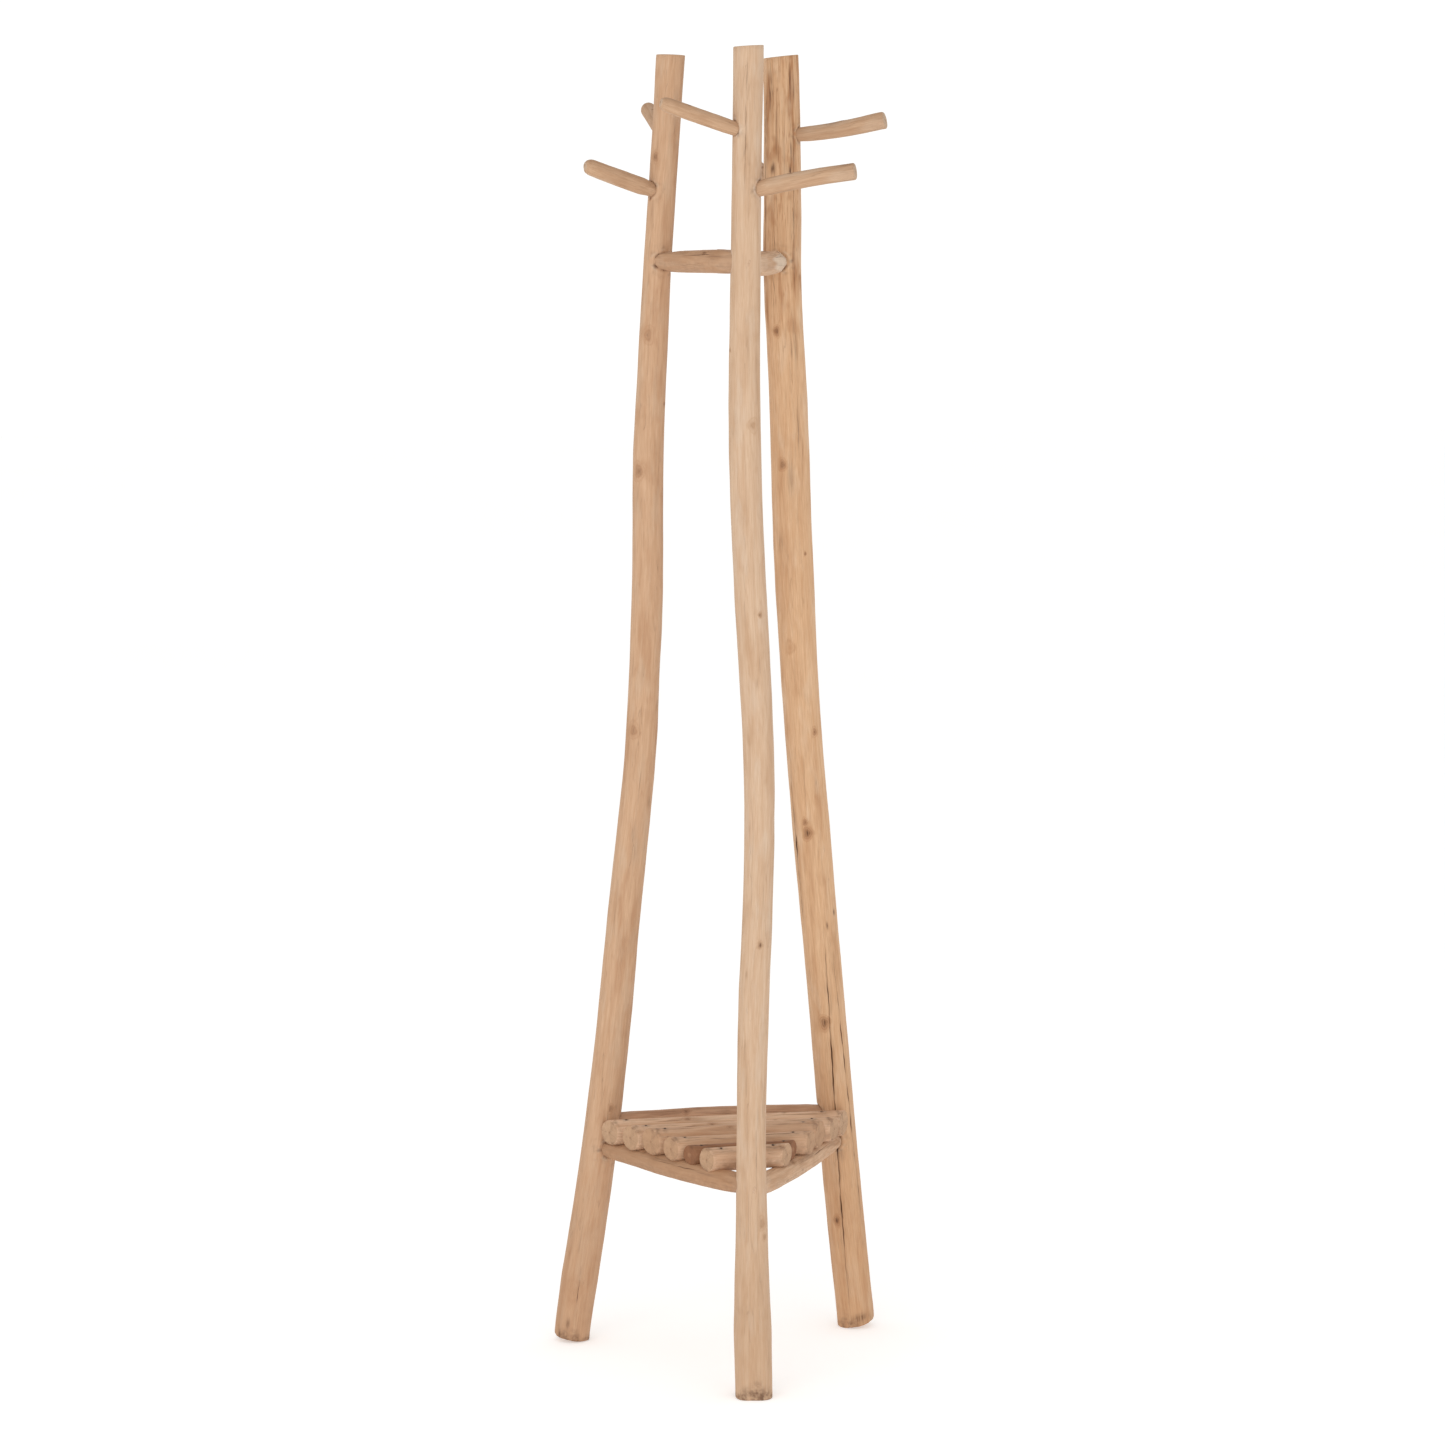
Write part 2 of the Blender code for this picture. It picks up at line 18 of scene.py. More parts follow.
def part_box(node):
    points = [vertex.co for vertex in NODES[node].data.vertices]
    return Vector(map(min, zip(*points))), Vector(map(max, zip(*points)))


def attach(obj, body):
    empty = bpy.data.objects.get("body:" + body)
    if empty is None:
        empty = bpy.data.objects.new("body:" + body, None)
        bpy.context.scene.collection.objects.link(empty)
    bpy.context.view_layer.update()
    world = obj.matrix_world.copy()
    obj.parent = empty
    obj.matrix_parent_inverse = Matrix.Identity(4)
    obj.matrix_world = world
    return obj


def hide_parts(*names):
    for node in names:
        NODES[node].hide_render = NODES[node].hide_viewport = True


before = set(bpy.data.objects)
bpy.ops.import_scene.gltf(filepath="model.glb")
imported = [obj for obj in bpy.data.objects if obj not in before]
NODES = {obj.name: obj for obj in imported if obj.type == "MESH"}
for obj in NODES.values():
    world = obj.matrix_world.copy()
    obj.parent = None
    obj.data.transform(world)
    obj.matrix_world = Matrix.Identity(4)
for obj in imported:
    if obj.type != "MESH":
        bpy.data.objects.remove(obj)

LOG = logging.getLogger("coat_rack")
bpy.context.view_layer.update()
MM = 0.001
UP = Vector((0.0, 0.0, 1.0))
RIGHTWARDS = Vector((1.0, 0.0, 0.0))
DOME_RISE = 0.34  # height of a rounded tip, as a share of its radius
RACK_AXIS = Vector((0.0033, 0.0470, 0.0))  # the upright line round which the camera's place is counted
VIEW_AZIMUTH = math.radians(-9.5)  # where the camera stands round the rack, from straight ahead
TO_VIEWER = Vector((math.sin(VIEW_AZIMUTH), -math.cos(VIEW_AZIMUTH), 0.0))
FLOOR_SHADE_HEIGHTS = (0.50, 0.02)  # between them painted shade darkens the wood towards the floor
WILD_HEIGHTS = (1.36, 1.52)  # between them the grain turns wild, on a post that has it
RAIL_POSTS = {"left": ("left", "front"), "right": ("front", "right"), "back": ("left", "right")}
MASKS = ("knot", "dark", "whittled", "end", "soil", "tone")  # what each point of a branch tells its wood
Colour = tuple[float, float, float]


def linear(red: int, green: int, blue: int) -> Colour:
    """The linear colour of a display colour with parts from 0 to 255."""
    parts = [value / 255 for value in (red, green, blue)]
    return tuple(p / 12.92 if p <= 0.04045 else ((p + 0.055) / 1.055) ** 2.4 for p in parts)


def placed(name: str, data: bpy.types.ID) -> bpy.types.Object:
    """A new object at the origin of the scene."""
    made = bpy.data.objects.new(name, data)
    bpy.context.scene.collection.objects.link(made)
    return made


# --------------------------------------------------------------- node trees and shader expressions


@dataclass
class Nodes:
    """A node tree, with one method that adds nodes and one that feeds their sockets."""

    tree: bpy.types.NodeTree
    prefix = ""  # what the types of its nodes begin with

    def feed(self, node: bpy.types.Node, **sockets: object) -> None:
        """Sets or links a node's inputs, by name with _ for a space, or as i0, i1 by place."""
        for name, value in sockets.items():
            by_place = name[0] == "i" and name[1:].isdigit()
            socket = node.inputs[int(name[1:]) if by_place else name.replace("_", " ")]
            source = value.socket if isinstance(value, Value) else value
            if isinstance(source, bpy.types.NodeSocket):
                self.tree.links.new(source, socket)
            elif socket.type == "RGBA":
                socket.default_value = (*source, 1.0)
            else:
                socket.default_value = source

    def node(self, kind: str, settings: dict | None = None, **sockets: object) -> bpy.types.Node:
        """Adds a node.

        Args:
            kind: The node type without the prefix of this kind of tree.
            settings: The node's own options, set before its sockets.
            sockets: Values or links for the input sockets, as in feed.

        Returns:
            The new node.
        """
        made = self.tree.nodes.new(self.prefix + kind)
        for name, value in (settings or {}).items():
            setattr(made, name, value)
        self.feed(made, **sockets)
        return made


class Shader(Nodes):
    """A material's node tree, with the nodes that wood, steel and filler need."""

    prefix = "ShaderNode"

    def math(self, operation: str, *terms: object, clamp: bool = False) -> "Value":
        """A Math node's result for the given terms."""
        sockets = {f"i{place}": term for place, term in enumerate(terms)}
        made = self.node("Math", {"operation": operation, "use_clamp": clamp}, **sockets)
        return Value(self, made.outputs[0])

    def place(self) -> "Value":
        """The point's place in the object."""
        return Value(self, self.node("TexCoord").outputs["Object"])

    def attribute(self, name: str, output: str = "Fac") -> "Value":
        """A named attribute of the mesh."""
        made = self.node("Attribute", {"attribute_name": name})
        return Value(self, made.outputs[output])

    def vector(self, x: object, y: object, z: object) -> "Value":
        """A vector put together from three values."""
        return Value(self, self.node("CombineXYZ", X=x, Y=y, Z=z).outputs[0])

    def noise(self, place: "Value", scale: float, detail: float) -> "Value":
        """Smooth noise of about 0.5 at a place."""
        made = self.node("TexNoise", None, Vector=place, Scale=scale, Detail=detail, Roughness=0.55)
        return Value(self, made.outputs[0])

    def mix(self, share: object, first: object, second: object) -> "Value":
        """A colour between two colours."""
        made = self.node("Mix", {"data_type": "RGBA", "clamp_factor": True}, i0=share, i6=first, i7=second)
        return Value(self, made.outputs[2])


@dataclass
class Value:
    """One output socket, on which arithmetic adds Math nodes."""

    shader: Shader
    socket: bpy.types.NodeSocket

    def __add__(self, other: object) -> "Value":
        """Sum."""
        return self.shader.math("ADD", self, other)

    def __sub__(self, other: object) -> "Value":
        """Difference."""
        return self.shader.math("SUBTRACT", self, other)

    def __rsub__(self, other: object) -> "Value":
        """Difference from a number."""
        return self.shader.math("SUBTRACT", other, self)

    def __mul__(self, other: object) -> "Value":
        """Product."""
        return self.shader.math("MULTIPLY", self, other)

    def __truediv__(self, other: object) -> "Value":
        """Quotient."""
        return self.shader.math("DIVIDE", self, other)

    def __abs__(self) -> "Value":
        """Size without sign."""
        return self.shader.math("ABSOLUTE", self)

    __radd__ = __add__
    __rmul__ = __mul__

    def step(self, low: float, high: float) -> "Value":
        """0 below low and 1 above high, smoothly; low may be the larger, which turns it round."""
        made = self.shader.node("MapRange", {"interpolation_type": "SMOOTHSTEP"}, Value=self, i1=low, i2=high)
        return Value(self.shader, made.outputs[0])

    def clamp(self) -> "Value":
        """The value kept from 0 to 1."""
        return self.shader.math("ADD", self, 0.0, clamp=True)

    def parts(self) -> tuple["Value", "Value", "Value"]:
        """The three parts of a vector."""
        made = self.shader.node("SeparateXYZ", Vector=self)
        return tuple(Value(self.shader, output) for output in made.outputs)


def new_material(name: str) -> tuple[bpy.types.Material, Shader, bpy.types.Node]:
    """An empty node material.

    Args:
        name: The material's name.

    Returns:
        The material, its shader and its Principled node.
    """
    material = bpy.data.materials.new(name)
    material.use_nodes = True
    return material, Shader(material.node_tree), material.node_tree.nodes["Principled BSDF"]


def brighter(colour: Colour, factor: float) -> Colour:
    """A colour made brighter, as far as white allows."""
    return tuple(min(1.0, part * factor) for part in colour)


# ---------------------------------------------------------------------------------------- finishes


@dataclass(frozen=True)
class WoodFinish:
    """Peeled and dried teak, rubbed down and left bare.

    Colours go from the palest fibres to the darkest stains, and the stain colour also paints shade in cracks,
    round joints and on flanks and undersides. The pattern reads the "grain" attribute, which is a point's
    place across the branch and along it, so the fibres follow the bends and sawn ends show rings.
    """

    name: str
    pale: Colour
    middle: Colour
    deep: Colour
    stain_and_shade: Colour
    end_pale: Colour
    end_deep: Colour
    weathered: Colour = linear(206, 182, 158)  # greyer patches, where the wood has stood in the sun
    pith: Colour = linear(150, 110, 80)
    pith_radius: float = 2.4  # in millimetres
    streaks: float = 0.5  # how far the deep colour comes out in bands along the branch
    flecks: float = 0.5  # how many short dark pores and drying checks show
    wild: float = 0.0  # how much stronger both are in the topmost part of a post
    ring_width: float = 1.7  # mean width of a year's growth in millimetres
    roughness: float = 0.68
    seed: float = 0.0

    def material(self) -> bpy.types.Material:
        """The material that this finish describes."""
        material, s, principled = new_material(self.name)
        across, over, along = s.attribute("grain", "Vector").parts()
        knot, dark = s.attribute("knot"), s.attribute("dark")
        whittled, end, soil = s.attribute("whittled"), s.attribute("end").step(0.35, 0.75), s.attribute("soil")
        bent = across + knot.step(0.0, 0.9) * 0.006  # fibres swing round a knot

        def fibres(width: float, length: float, shift: float, detail: float = 3.0) -> Value:
            """Noise on the branch's side, whose patches are width by length millimetres."""
            w, h = 1 / (width * MM), 1 / (length * MM)
            return s.noise(s.vector(bent * w + (shift + self.seed), over * w, along * h), 1.0, detail)

        def sawn(width: float, length: float, shift: float, detail: float) -> Value:
            """Noise on a sawn end, whose patches are width by length millimetres."""
            place = s.vector(across / (width * MM), over / (length * MM), self.seed + shift)
            return s.noise(place, 1.0, detail)

        # Fibres, bands and weathered patches on the side.
        fine = fibres(0.9, 26.0, 3.1, 4.0)
        middle = fibres(4.2, 90.0, 11.7)
        broad = fibres(15.0, 130.0, 23.9, 2.0)
        patch = fibres(26.0, 48.0, 37.3, 2.0)
        pores = fibres(0.75, 13.0, 51.1, 2.0).step(0.62, 0.74) * patch.step(0.38, 0.62)
        line = abs(fibres(11.0, 210.0, 71.0, 2.0) - 0.5).step(0.009, 0.0)
        checks = line * fibres(8.0, 60.0, 83.0, 2.0).step(0.47, 0.6)
        feather = abs(fibres(6.0, 120.0, 97.0, 3.0) - 0.5).step(0.03, 0.0)
        weathered = fibres(19.0, 75.0, 113.0, 3.0).step(0.5, 0.7)
        split = fibres(1.5, 34.0, 131.0, 3.0).step(0.38, 0.62)

        place = s.place()
        _, _, height = place.parts()
        more = height.step(*WILD_HEIGHTS) * self.wild + 1.0
        streaks, flecks = more * self.streaks, more * self.flecks
        side = s.mix((middle - 0.5) * 2.2 + 0.5, self.pale, self.middle)
        side = s.mix((broad.step(0.5, 0.72) + patch.step(0.54, 0.74) * 0.6) * streaks, side, self.deep)
        side = s.mix(feather * 0.45 * streaks, side, self.deep)
        side = s.mix(weathered * 0.42, side, self.weathered)
        side = s.mix((fine - 0.5) * 1.2 + 0.12, side, self.deep)
        side = s.mix((0.46 - fine).clamp() * 1.6, side, brighter(self.pale, 1.14))
        side = s.mix(whittled * (0.4 + 0.6 * middle), side, brighter(self.weathered, 1.12))
        side = s.mix(pores * 0.6 * flecks, side, self.stain_and_shade)
        side = s.mix(checks * 0.9 * flecks, side, self.stain_and_shade)

        # Knots, as rings round a darker heart.
        knot_rings = s.math("SINE", knot * 26.0 + fine * 5.0)
        heart = tuple(0.5 * (a + b) for a, b in zip(self.deep, self.stain_and_shade))
        side = s.mix(knot.step(0.02, 0.6) * 0.55 + knot.step(0.05, 0.3) * knot_rings.step(0.2, 0.9) * 0.3,
                     side, self.deep)
        side = s.mix(knot.step(0.35, 0.95) * 0.5, side, heart)

        # Sawn ends, with yearly rings, rays, saw marks and a pith.
        radius = s.math("SQRT", across * across + over * over) / MM
        wobble = sawn(9, 9, 5.0, 2.0)
        ring = s.math("SINE", (radius + wobble * 3.0) * (math.tau / self.ring_width)) * 0.5 + 0.5
        turn = s.math("ARCTAN2", over, across)
        wheel = s.vector(s.math("COSINE", turn) * 3.5, s.math("SINE", turn) * 3.5, self.seed)
        spoke = s.noise(wheel, 1.0, 3.0)
        rays = abs(spoke - 0.5).step(0.016, 0.0) * wobble.step(0.42, 0.6)
        grime = sawn(5, 5, 19.0, 4.0)
        saw = sawn(0.5, 22, 31.0, 2.0)
        pith = radius.step(self.pith_radius, self.pith_radius / 3)
        face = s.mix(ring * 0.34 + (grime - 0.4) * 0.8, self.end_pale, self.end_deep)
        face = s.mix(rays * 0.5 + (saw - 0.5).clamp() * 0.3, face, self.stain_and_shade)
        face = s.mix(pith * 0.7, face, self.pith)

        # Stains and dirt over both, and painted shade: towards the floor, in cracks, round joints and on
        # flanks and undersides.
        low = height.step(*FLOOR_SHADE_HEIGHTS)
        colour = s.mix(end, side, face)
        # Each piece's own tone, and painted shade that darkens the wood towards the floor.
        colour = s.mix(s.attribute("tone").clamp() + low * 0.34, colour, self.deep)
        # Real stains and knot hearts from the dark mask, with painted shade in cracks and in the gaps round
        # joints.
        soft = dark.clamp() * (0.25 + 1.25 * split)
        colour = s.mix(soft + dark.step(0.7, 1.0) * 0.9, colour, self.stain_and_shade)
        # Blotchy darkening from the soil-and-shade mask: real grime at the ends, and painted shade on flanks,
        # undersides and round joints.
        mottle = s.noise(place, 150.0, 4.0)
        colour = s.mix(soil * (mottle.step(0.3, 0.7) + 0.15), colour, self.stain_and_shade)

        relief = (fine * 0.35 + middle * 0.9 + broad * 0.6) * (1 - end)
        relief = relief - (checks * 1.3 + pores * 0.5) * (1 - end) - knot.step(0.66, 0.9) * 0.6
        relief = relief + (ring * 0.22 + saw * 0.5 - rays * 0.8) * end
        bump = s.node("Bump", None, Strength=0.55, Distance=0.7 * MM, Height=relief)
        rough = (fine - 0.5) * 0.3 + self.roughness + 0.1 * end + 0.12 * dark.clamp() - 0.08 * whittled
        s.feed(principled, Base_Color=colour, Normal=bump.outputs[0], Roughness=rough, Specular_IOR_Level=0.32)
        return material


@dataclass(frozen=True)
class SteelFinish:
    """Plain wire-nail steel, dulled and browned where it has been handled."""

    name: str
    metal: Colour
    rust: Colour
    roughness: float = 0.46

    def material(self) -> bpy.types.Material:
        """The material that this finish describes."""
        material, s, principled = new_material(self.name)
        place = s.place()
        blotch = s.noise(place, 900.0, 4.0)
        scuff = s.noise(place, 3600.0, 2.0)
        rusty = blotch.step(0.44, 0.62)
        bump = s.node("Bump", None, Strength=0.35, Distance=0.1 * MM, Height=scuff + blotch)
        s.feed(principled, Base_Color=s.mix(rusty, self.metal, self.rust), Metallic=1.0 - rusty * 0.85,
               Roughness=rusty * 0.35 + self.roughness, Normal=bump.outputs[0])
        return material


@dataclass(frozen=True)
class FillerFinish:
    """Wood filler over the sunk pins, a little greyer than the wood and sanded level."""

    name: str
    base: Colour
    specks: Colour

    def material(self) -> bpy.types.Material:
        """The material that this finish describes."""
        material, s, principled = new_material(self.name)
        place = s.place()
        dust = s.noise(place, 1400.0, 4.0)
        clouds = s.noise(place, 260.0, 2.0)
        bump = s.node("Bump", None, Strength=0.4, Distance=0.15 * MM, Height=dust)
        colour = s.mix(dust.step(0.5, 0.7) * 0.5 + clouds.step(0.4, 0.7) * 0.4, self.base, self.specks)
        s.feed(principled, Base_Color=colour, Roughness=dust * 0.2 + 0.72, Normal=bump.outputs[0])
        return material


FRONT_WOOD = WoodFinish(
    "front_post_peeled_teak", linear(213, 184, 156), linear(201, 167, 137), linear(184, 146, 113),
    linear(108, 77, 56), linear(205, 176, 148), linear(170, 132, 102), linear(212, 191, 170), streaks=0.55,
    flecks=0.16, seed=1.0)
LEFT_WOOD = WoodFinish(
    "left_post_peeled_teak", linear(209, 173, 141), linear(196, 157, 124), linear(176, 132, 98),
    linear(102, 70, 50), linear(200, 168, 138), linear(165, 126, 96), linear(204, 178, 152), streaks=0.6,
    flecks=0.25, seed=2.0)
RIGHT_WOOD = WoodFinish(
    "right_post_peeled_teak", linear(221, 184, 147), linear(208, 165, 126), linear(176, 127, 88),
    linear(92, 60, 42), linear(198, 162, 128), linear(158, 116, 84), linear(224, 196, 166), streaks=0.4,
    flecks=0.14, wild=3.2, seed=3.0)
PEG_WOOD = WoodFinish(
    "peg_peeled_teak", linear(200, 166, 135), linear(184, 147, 116), linear(160, 120, 88),
    linear(104, 72, 50), linear(205, 178, 152), linear(168, 134, 106), streaks=0.6, flecks=0.3, seed=4.0)
RAIL_WOOD = WoodFinish(
    "rail_peeled_teak", linear(222, 188, 156), linear(208, 169, 136), linear(170, 127, 93),
    linear(98, 66, 46), linear(205, 178, 152), linear(168, 134, 106), streaks=0.7, flecks=0.35, seed=5.0)
SLAT_WOOD = WoodFinish(
    "slat_peeled_teak", linear(232, 198, 168), linear(219, 181, 149), linear(176, 132, 98),
    linear(96, 64, 44), linear(202, 168, 136), linear(162, 122, 92), streaks=0.7, flecks=0.4, seed=6.0)
HEART_WOOD = replace(
    SLAT_WOOD, name="heart_slat_peeled_teak", pale=linear(190, 146, 112), middle=linear(168, 122, 88),
    deep=linear(142, 96, 66), end_pale=linear(160, 112, 80), end_deep=linear(112, 74, 50),
    pith=linear(222, 176, 136), pith_radius=5.0, weathered=linear(176, 132, 100), seed=9.0)
BACK_WOOD = replace(
    RAIL_WOOD, name="back_rail_peeled_teak", pale=linear(204, 164, 134), middle=linear(186, 145, 114),
    deep=linear(154, 112, 84), weathered=linear(182, 148, 120), streaks=0.8, flecks=0.5, seed=12.0)
NAIL_STEEL = SteelFinish("nail_steel_dull", linear(128, 112, 98), linear(92, 66, 50))
PIN_STEEL = SteelFinish("pin_steel_dull", linear(140, 136, 130), linear(92, 72, 58))
PIN_FILLER = FillerFinish("pin_filler", linear(204, 172, 144), linear(178, 144, 116))


# ------------------------------------------------------------------------- measuring the CAD nodes

LEAST_POINTS = 9  # how many points of a section make a circle
WINDOW = 12  # how many millimetres to each side a branch's line is smoothed over

@dataclass
class Plane:
    """A sawn face: a point on it and the direction in which it looks."""

    point: np.ndarray
    normal: np.ndarray


@dataclass
class Line:
    """A branch's centre line and thickness, from its start to its end.

    A place along it is a distance from the first point, and places outside it carry on straight.
    """

    places: np.ndarray
    points: np.ndarray
    radii: np.ndarray
    start: Plane
    end: Plane

    def at(self, place: np.ndarray) -> tuple[np.ndarray, np.ndarray]:
        """Centre points and radii at places along the line."""
        inside = np.clip(place, self.places[0], self.places[-1])
        points = np.stack([np.interp(inside, self.places, self.points[:, k]) for k in range(3)], -1)
        first, last = self.points[1] - self.points[0], self.points[-1] - self.points[-2]
        beyond = (place - inside)[..., None] / (self.places[1] - self.places[0])
        return points + beyond * np.where(beyond < 0, first, last), np.interp(inside, self.places, self.radii)

    def tangent(self, place: np.ndarray) -> np.ndarray:
        """Unit directions along the line."""
        reach = 4 * MM
        way = self.at(place + reach)[0] - self.at(place - reach)[0]
        return way / np.linalg.norm(way, axis=-1, keepdims=True)


def corners_of(node: bpy.types.Object) -> np.ndarray:
    """The corners of a node's triangles, as an array of n triangles by 3 corners by 3."""
    mesh = node.data
    mesh.calc_loop_triangles()
    places = np.empty(len(mesh.vertices) * 3)
    mesh.vertices.foreach_get("co", places)
    index = np.empty(len(mesh.loop_triangles) * 3, np.int32)
    mesh.loop_triangles.foreach_get("vertices", index)
    return places.reshape(-1, 3)[index].reshape(-1, 3, 3)


def sawn_face(corners: np.ndarray, axis: np.ndarray, reach: float, square: float) -> Plane:
    """The plane in which a branch is sawn off.

    Args:
        corners: The triangles of the whole branch.
        axis: The direction out of the end.
        reach: How far back from the end's highest point the face may go.
        square: How straight a triangle must look along the axis to count, as a cosine.

    Returns:
        The plane, looking outwards.
    """
    cross = np.cross(corners[:, 1] - corners[:, 0], corners[:, 2] - corners[:, 0])
    area = np.linalg.norm(cross, axis=1) + 1e-15
    facing = cross / area[:, None]
    height = corners.mean(1) @ axis
    chosen = (facing @ axis > square) & (height > (corners @ axis).max() - reach)
    weight = area[chosen][:, None]
    normal = (facing[chosen] * weight).sum(0)
    point = (corners[chosen].mean(1) * weight).sum(0) / weight.sum()
    return Plane(point, normal / np.linalg.norm(normal))


def round_section(points: np.ndarray) -> tuple[np.ndarray, float] | None:
    """Centre and radius of the circle round a branch's section, whatever bores or notches cut into it.

    Args:
        points: The section's points in its own plane.

    Returns:
        The centre and the radius, or None where too little of the circle is left.
    """
    bins = 24
    middle = (points.min(0) + points.max(0)) / 2
    for _ in range(3):
        way = points - middle
        sector = ((np.arctan2(way[:, 1], way[:, 0]) + math.pi) / math.tau * bins).astype(int) % bins
        distance = np.linalg.norm(way, axis=1)
        outer = np.array([np.flatnonzero(sector == b)[distance[sector == b].argmax()]
                          for b in range(bins) if (sector == b).any()])
        usual = np.median(distance[outer])
        kept = outer[abs(distance[outer] - usual) < 0.07 * usual]
        if len(kept) < LEAST_POINTS:
            return None
        ring = points[kept]
        solved = np.linalg.lstsq(np.c_[2 * ring, np.ones(len(ring))], (ring**2).sum(1), rcond=None)[0]
        middle = solved[:2]
    return middle, math.sqrt(solved[2] + middle @ middle)


def long_axis(points: np.ndarray) -> tuple[np.ndarray, np.ndarray]:
    """The middle of a long set of points and the direction in which it is longest."""
    middle = points.mean(0)
    return middle, np.linalg.svd(points - middle, full_matrices=False)[2][0]


def measure(name: str, towards: Vector, spacing: float, smooth: float, square: float = 0.6) -> Line:
    """Takes a branch's line from its CAD node.

    Args:
        name: The node.
        towards: Roughly the direction from its start to its end.
        spacing: Distance between the sections that are measured.
        smooth: How far the facets of the CAD branch are smoothed along it.
        square: How straight the triangles of an end must look along the branch, as a cosine.

    Returns:
        The line.
    """
    corners = corners_of(NODES[name])
    _, axis = long_axis(corners.reshape(-1, 3))
    axis = axis if axis @ np.array(towards) > 0 else -axis
    side = np.cross(axis, (0.0, 0.0, 1.0) if abs(axis[2]) < 0.9 else (1.0, 0.0, 0.0))
    side /= np.linalg.norm(side)
    over = np.cross(axis, side)
    height = corners @ axis
    low, high = height.min(), height.max()
    found = []
    for place in np.arange(low + spacing / 2, high, spacing):
        crossings = []
        for a, b in ((0, 1), (1, 2), (2, 0)):
            ha, hb = height[:, a] - place, height[:, b] - place
            hit = (ha * hb) < 0
            share = (ha[hit] / (ha[hit] - hb[hit]))[:, None]
            crossings.append(corners[hit, a] * (1 - share) + corners[hit, b] * share)
        section = np.concatenate(crossings)
        ring = round_section(np.c_[section @ side, section @ over]) if len(section) >= LEAST_POINTS else None
        if ring is not None:
            found.append((place, *ring[0], ring[1]))
    rows = np.array(found)
    places = np.arange(rows[0, 0], rows[-1, 0], MM)
    columns = [np.interp(places, rows[:, 0], rows[:, k]) for k in (1, 2, 3)]
    window = np.exp(-0.5 * (np.arange(-WINDOW, WINDOW + 1) * MM / smooth) ** 2)
    window /= window.sum()
    padded = (np.pad(column, WINDOW, "reflect", reflect_type="odd") for column in columns)
    u, v, radii = (np.convolve(column, window, "valid") for column in padded)
    points = places[:, None] * axis + u[:, None] * side + v[:, None] * over
    reach = 1.4 * radii.max()
    first, last = (sawn_face(corners, way, reach, square) for way in (-axis, axis))
    return Line(places - places[0], points, radii, first, last)


# ------------------------------------------------------------------------------ branches and marks

CRACK_COLUMNS = (-2.4, -1.0, -0.45, 0.0, 0.45, 1.0, 2.4)  # a crack's columns, in halves of its width
FACETS = 9  # knife cuts round a whittled end
CHIPS = 7  # chips in a broken rim
DOME_RINGS = 9  # steps from a rounded tip's rim to its middle
SQUARENESS = 3.2  # 2 is round, and more is squarer
FINE_SPACING = 1.7 * MM  # about the distance between rings at a knot or a seat
LEAST_SPACING = 1.5 * MM

def ripple(place: np.ndarray, across: float, along: float, seed: int, waves: int = 10) -> np.ndarray:
    """Smooth random relief of about -1 to 1.

    Args:
        place: Places on a branch: across, over and along it.
        across: Wavelength across the branch.
        along: Wavelength along it.
        seed: What sets this relief apart from the others.
        waves: How many waves are added up.

    Returns:
        One number for each place.
    """
    draw = np.random.default_rng(seed)
    way = draw.normal(size=(waves, 3))
    way /= np.linalg.norm(way, axis=1, keepdims=True)
    way *= draw.uniform(0.6, 1.5, (waves, 1)) * math.tau / np.array((across, across, along))
    phase = draw.uniform(0, math.tau, waves)
    return np.cos(place @ way.T + phase).sum(-1) * math.sqrt(1.6 / waves) / 1.3


def turn_of(across: float | np.ndarray, behind: bool) -> float | np.ndarray:
    """The angle round a branch, from the side that is seen, of a place across that side or behind it."""
    turn = np.arcsin(across)
    return math.pi - turn if behind else turn


def around(angle: float | np.ndarray) -> float | np.ndarray:
    """An angle brought between minus and plus half a turn."""
    return (angle + math.pi) % math.tau - math.pi


@dataclass(frozen=True)
class Knot:
    """A knot: its height on the branch, its place across the side that faces the viewer, and its looks.

    across runs from -1 at the left edge to 1 at the right, and behind puts it on the far side.
    """

    height: float
    across: float
    size: float
    swelling: float = 0.6 * MM
    dark: float = 0.0
    behind: bool = False

    @property
    def bearing(self) -> float:
        """Its angle round the branch."""
        return turn_of(self.across, self.behind)


@dataclass(frozen=True)
class Crack:
    """A drying crack along the fibres, between two heights."""

    bottom: float
    top: float
    across_bottom: float
    across_top: float
    width: float = 1.0 * MM
    depth: float = 3.0 * MM
    behind: bool = False

    def bearing(self, height: np.ndarray | float) -> np.ndarray:
        """Its angle round the branch at a height."""
        share = np.clip((height - self.bottom) / (self.top - self.bottom), 0, 1)
        return turn_of(self.across_bottom + (self.across_top - self.across_bottom) * share, self.behind)

    @property
    def middle(self) -> float:
        """Its angle halfway up, between minus and plus half a turn."""
        return float(around(self.bearing((self.bottom + self.top) / 2)))


@dataclass(frozen=True)
class Smudge:
    """A soft dark patch, longer along the fibres than across them."""

    height: float
    across: float
    length: float
    width: float
    dark: float = 0.5
    behind: bool = False

    @property
    def bearing(self) -> float:
        """Its angle round the branch."""
        return turn_of(self.across, self.behind)


@dataclass(frozen=True)
class Seat:
    """Where another branch enters this one: a point on its line, its direction and its radius there."""

    point: Vector
    way: Vector
    radius: float
    shadow: float = 0.7  # how dark the painted shadow in the gap round it is
    depth: float = 12 * MM  # how far its socket goes in


class Cut(Enum):
    """How a branch's end is made."""

    SAWN = "sawn straight across, with a rubbed edge"
    DOMED = "sawn and then rounded over with a knife"
    HIDDEN = "inside another branch"


@dataclass
class End:
    """One end of a branch."""

    cut: Cut = Cut.SAWN
    edge: float = 0.9 * MM  # how far its rim is rounded
    chips: float = 0.0  # how deep its rim is chipped
    shoulder: float = 0.0  # length whittled into facets next to it
    bare: float = 0.45  # how pale the whittling has left it
    grime: float = 0.0  # how dark its rim has become
    stained: float = 5 * MM  # how far from it the grime reaches


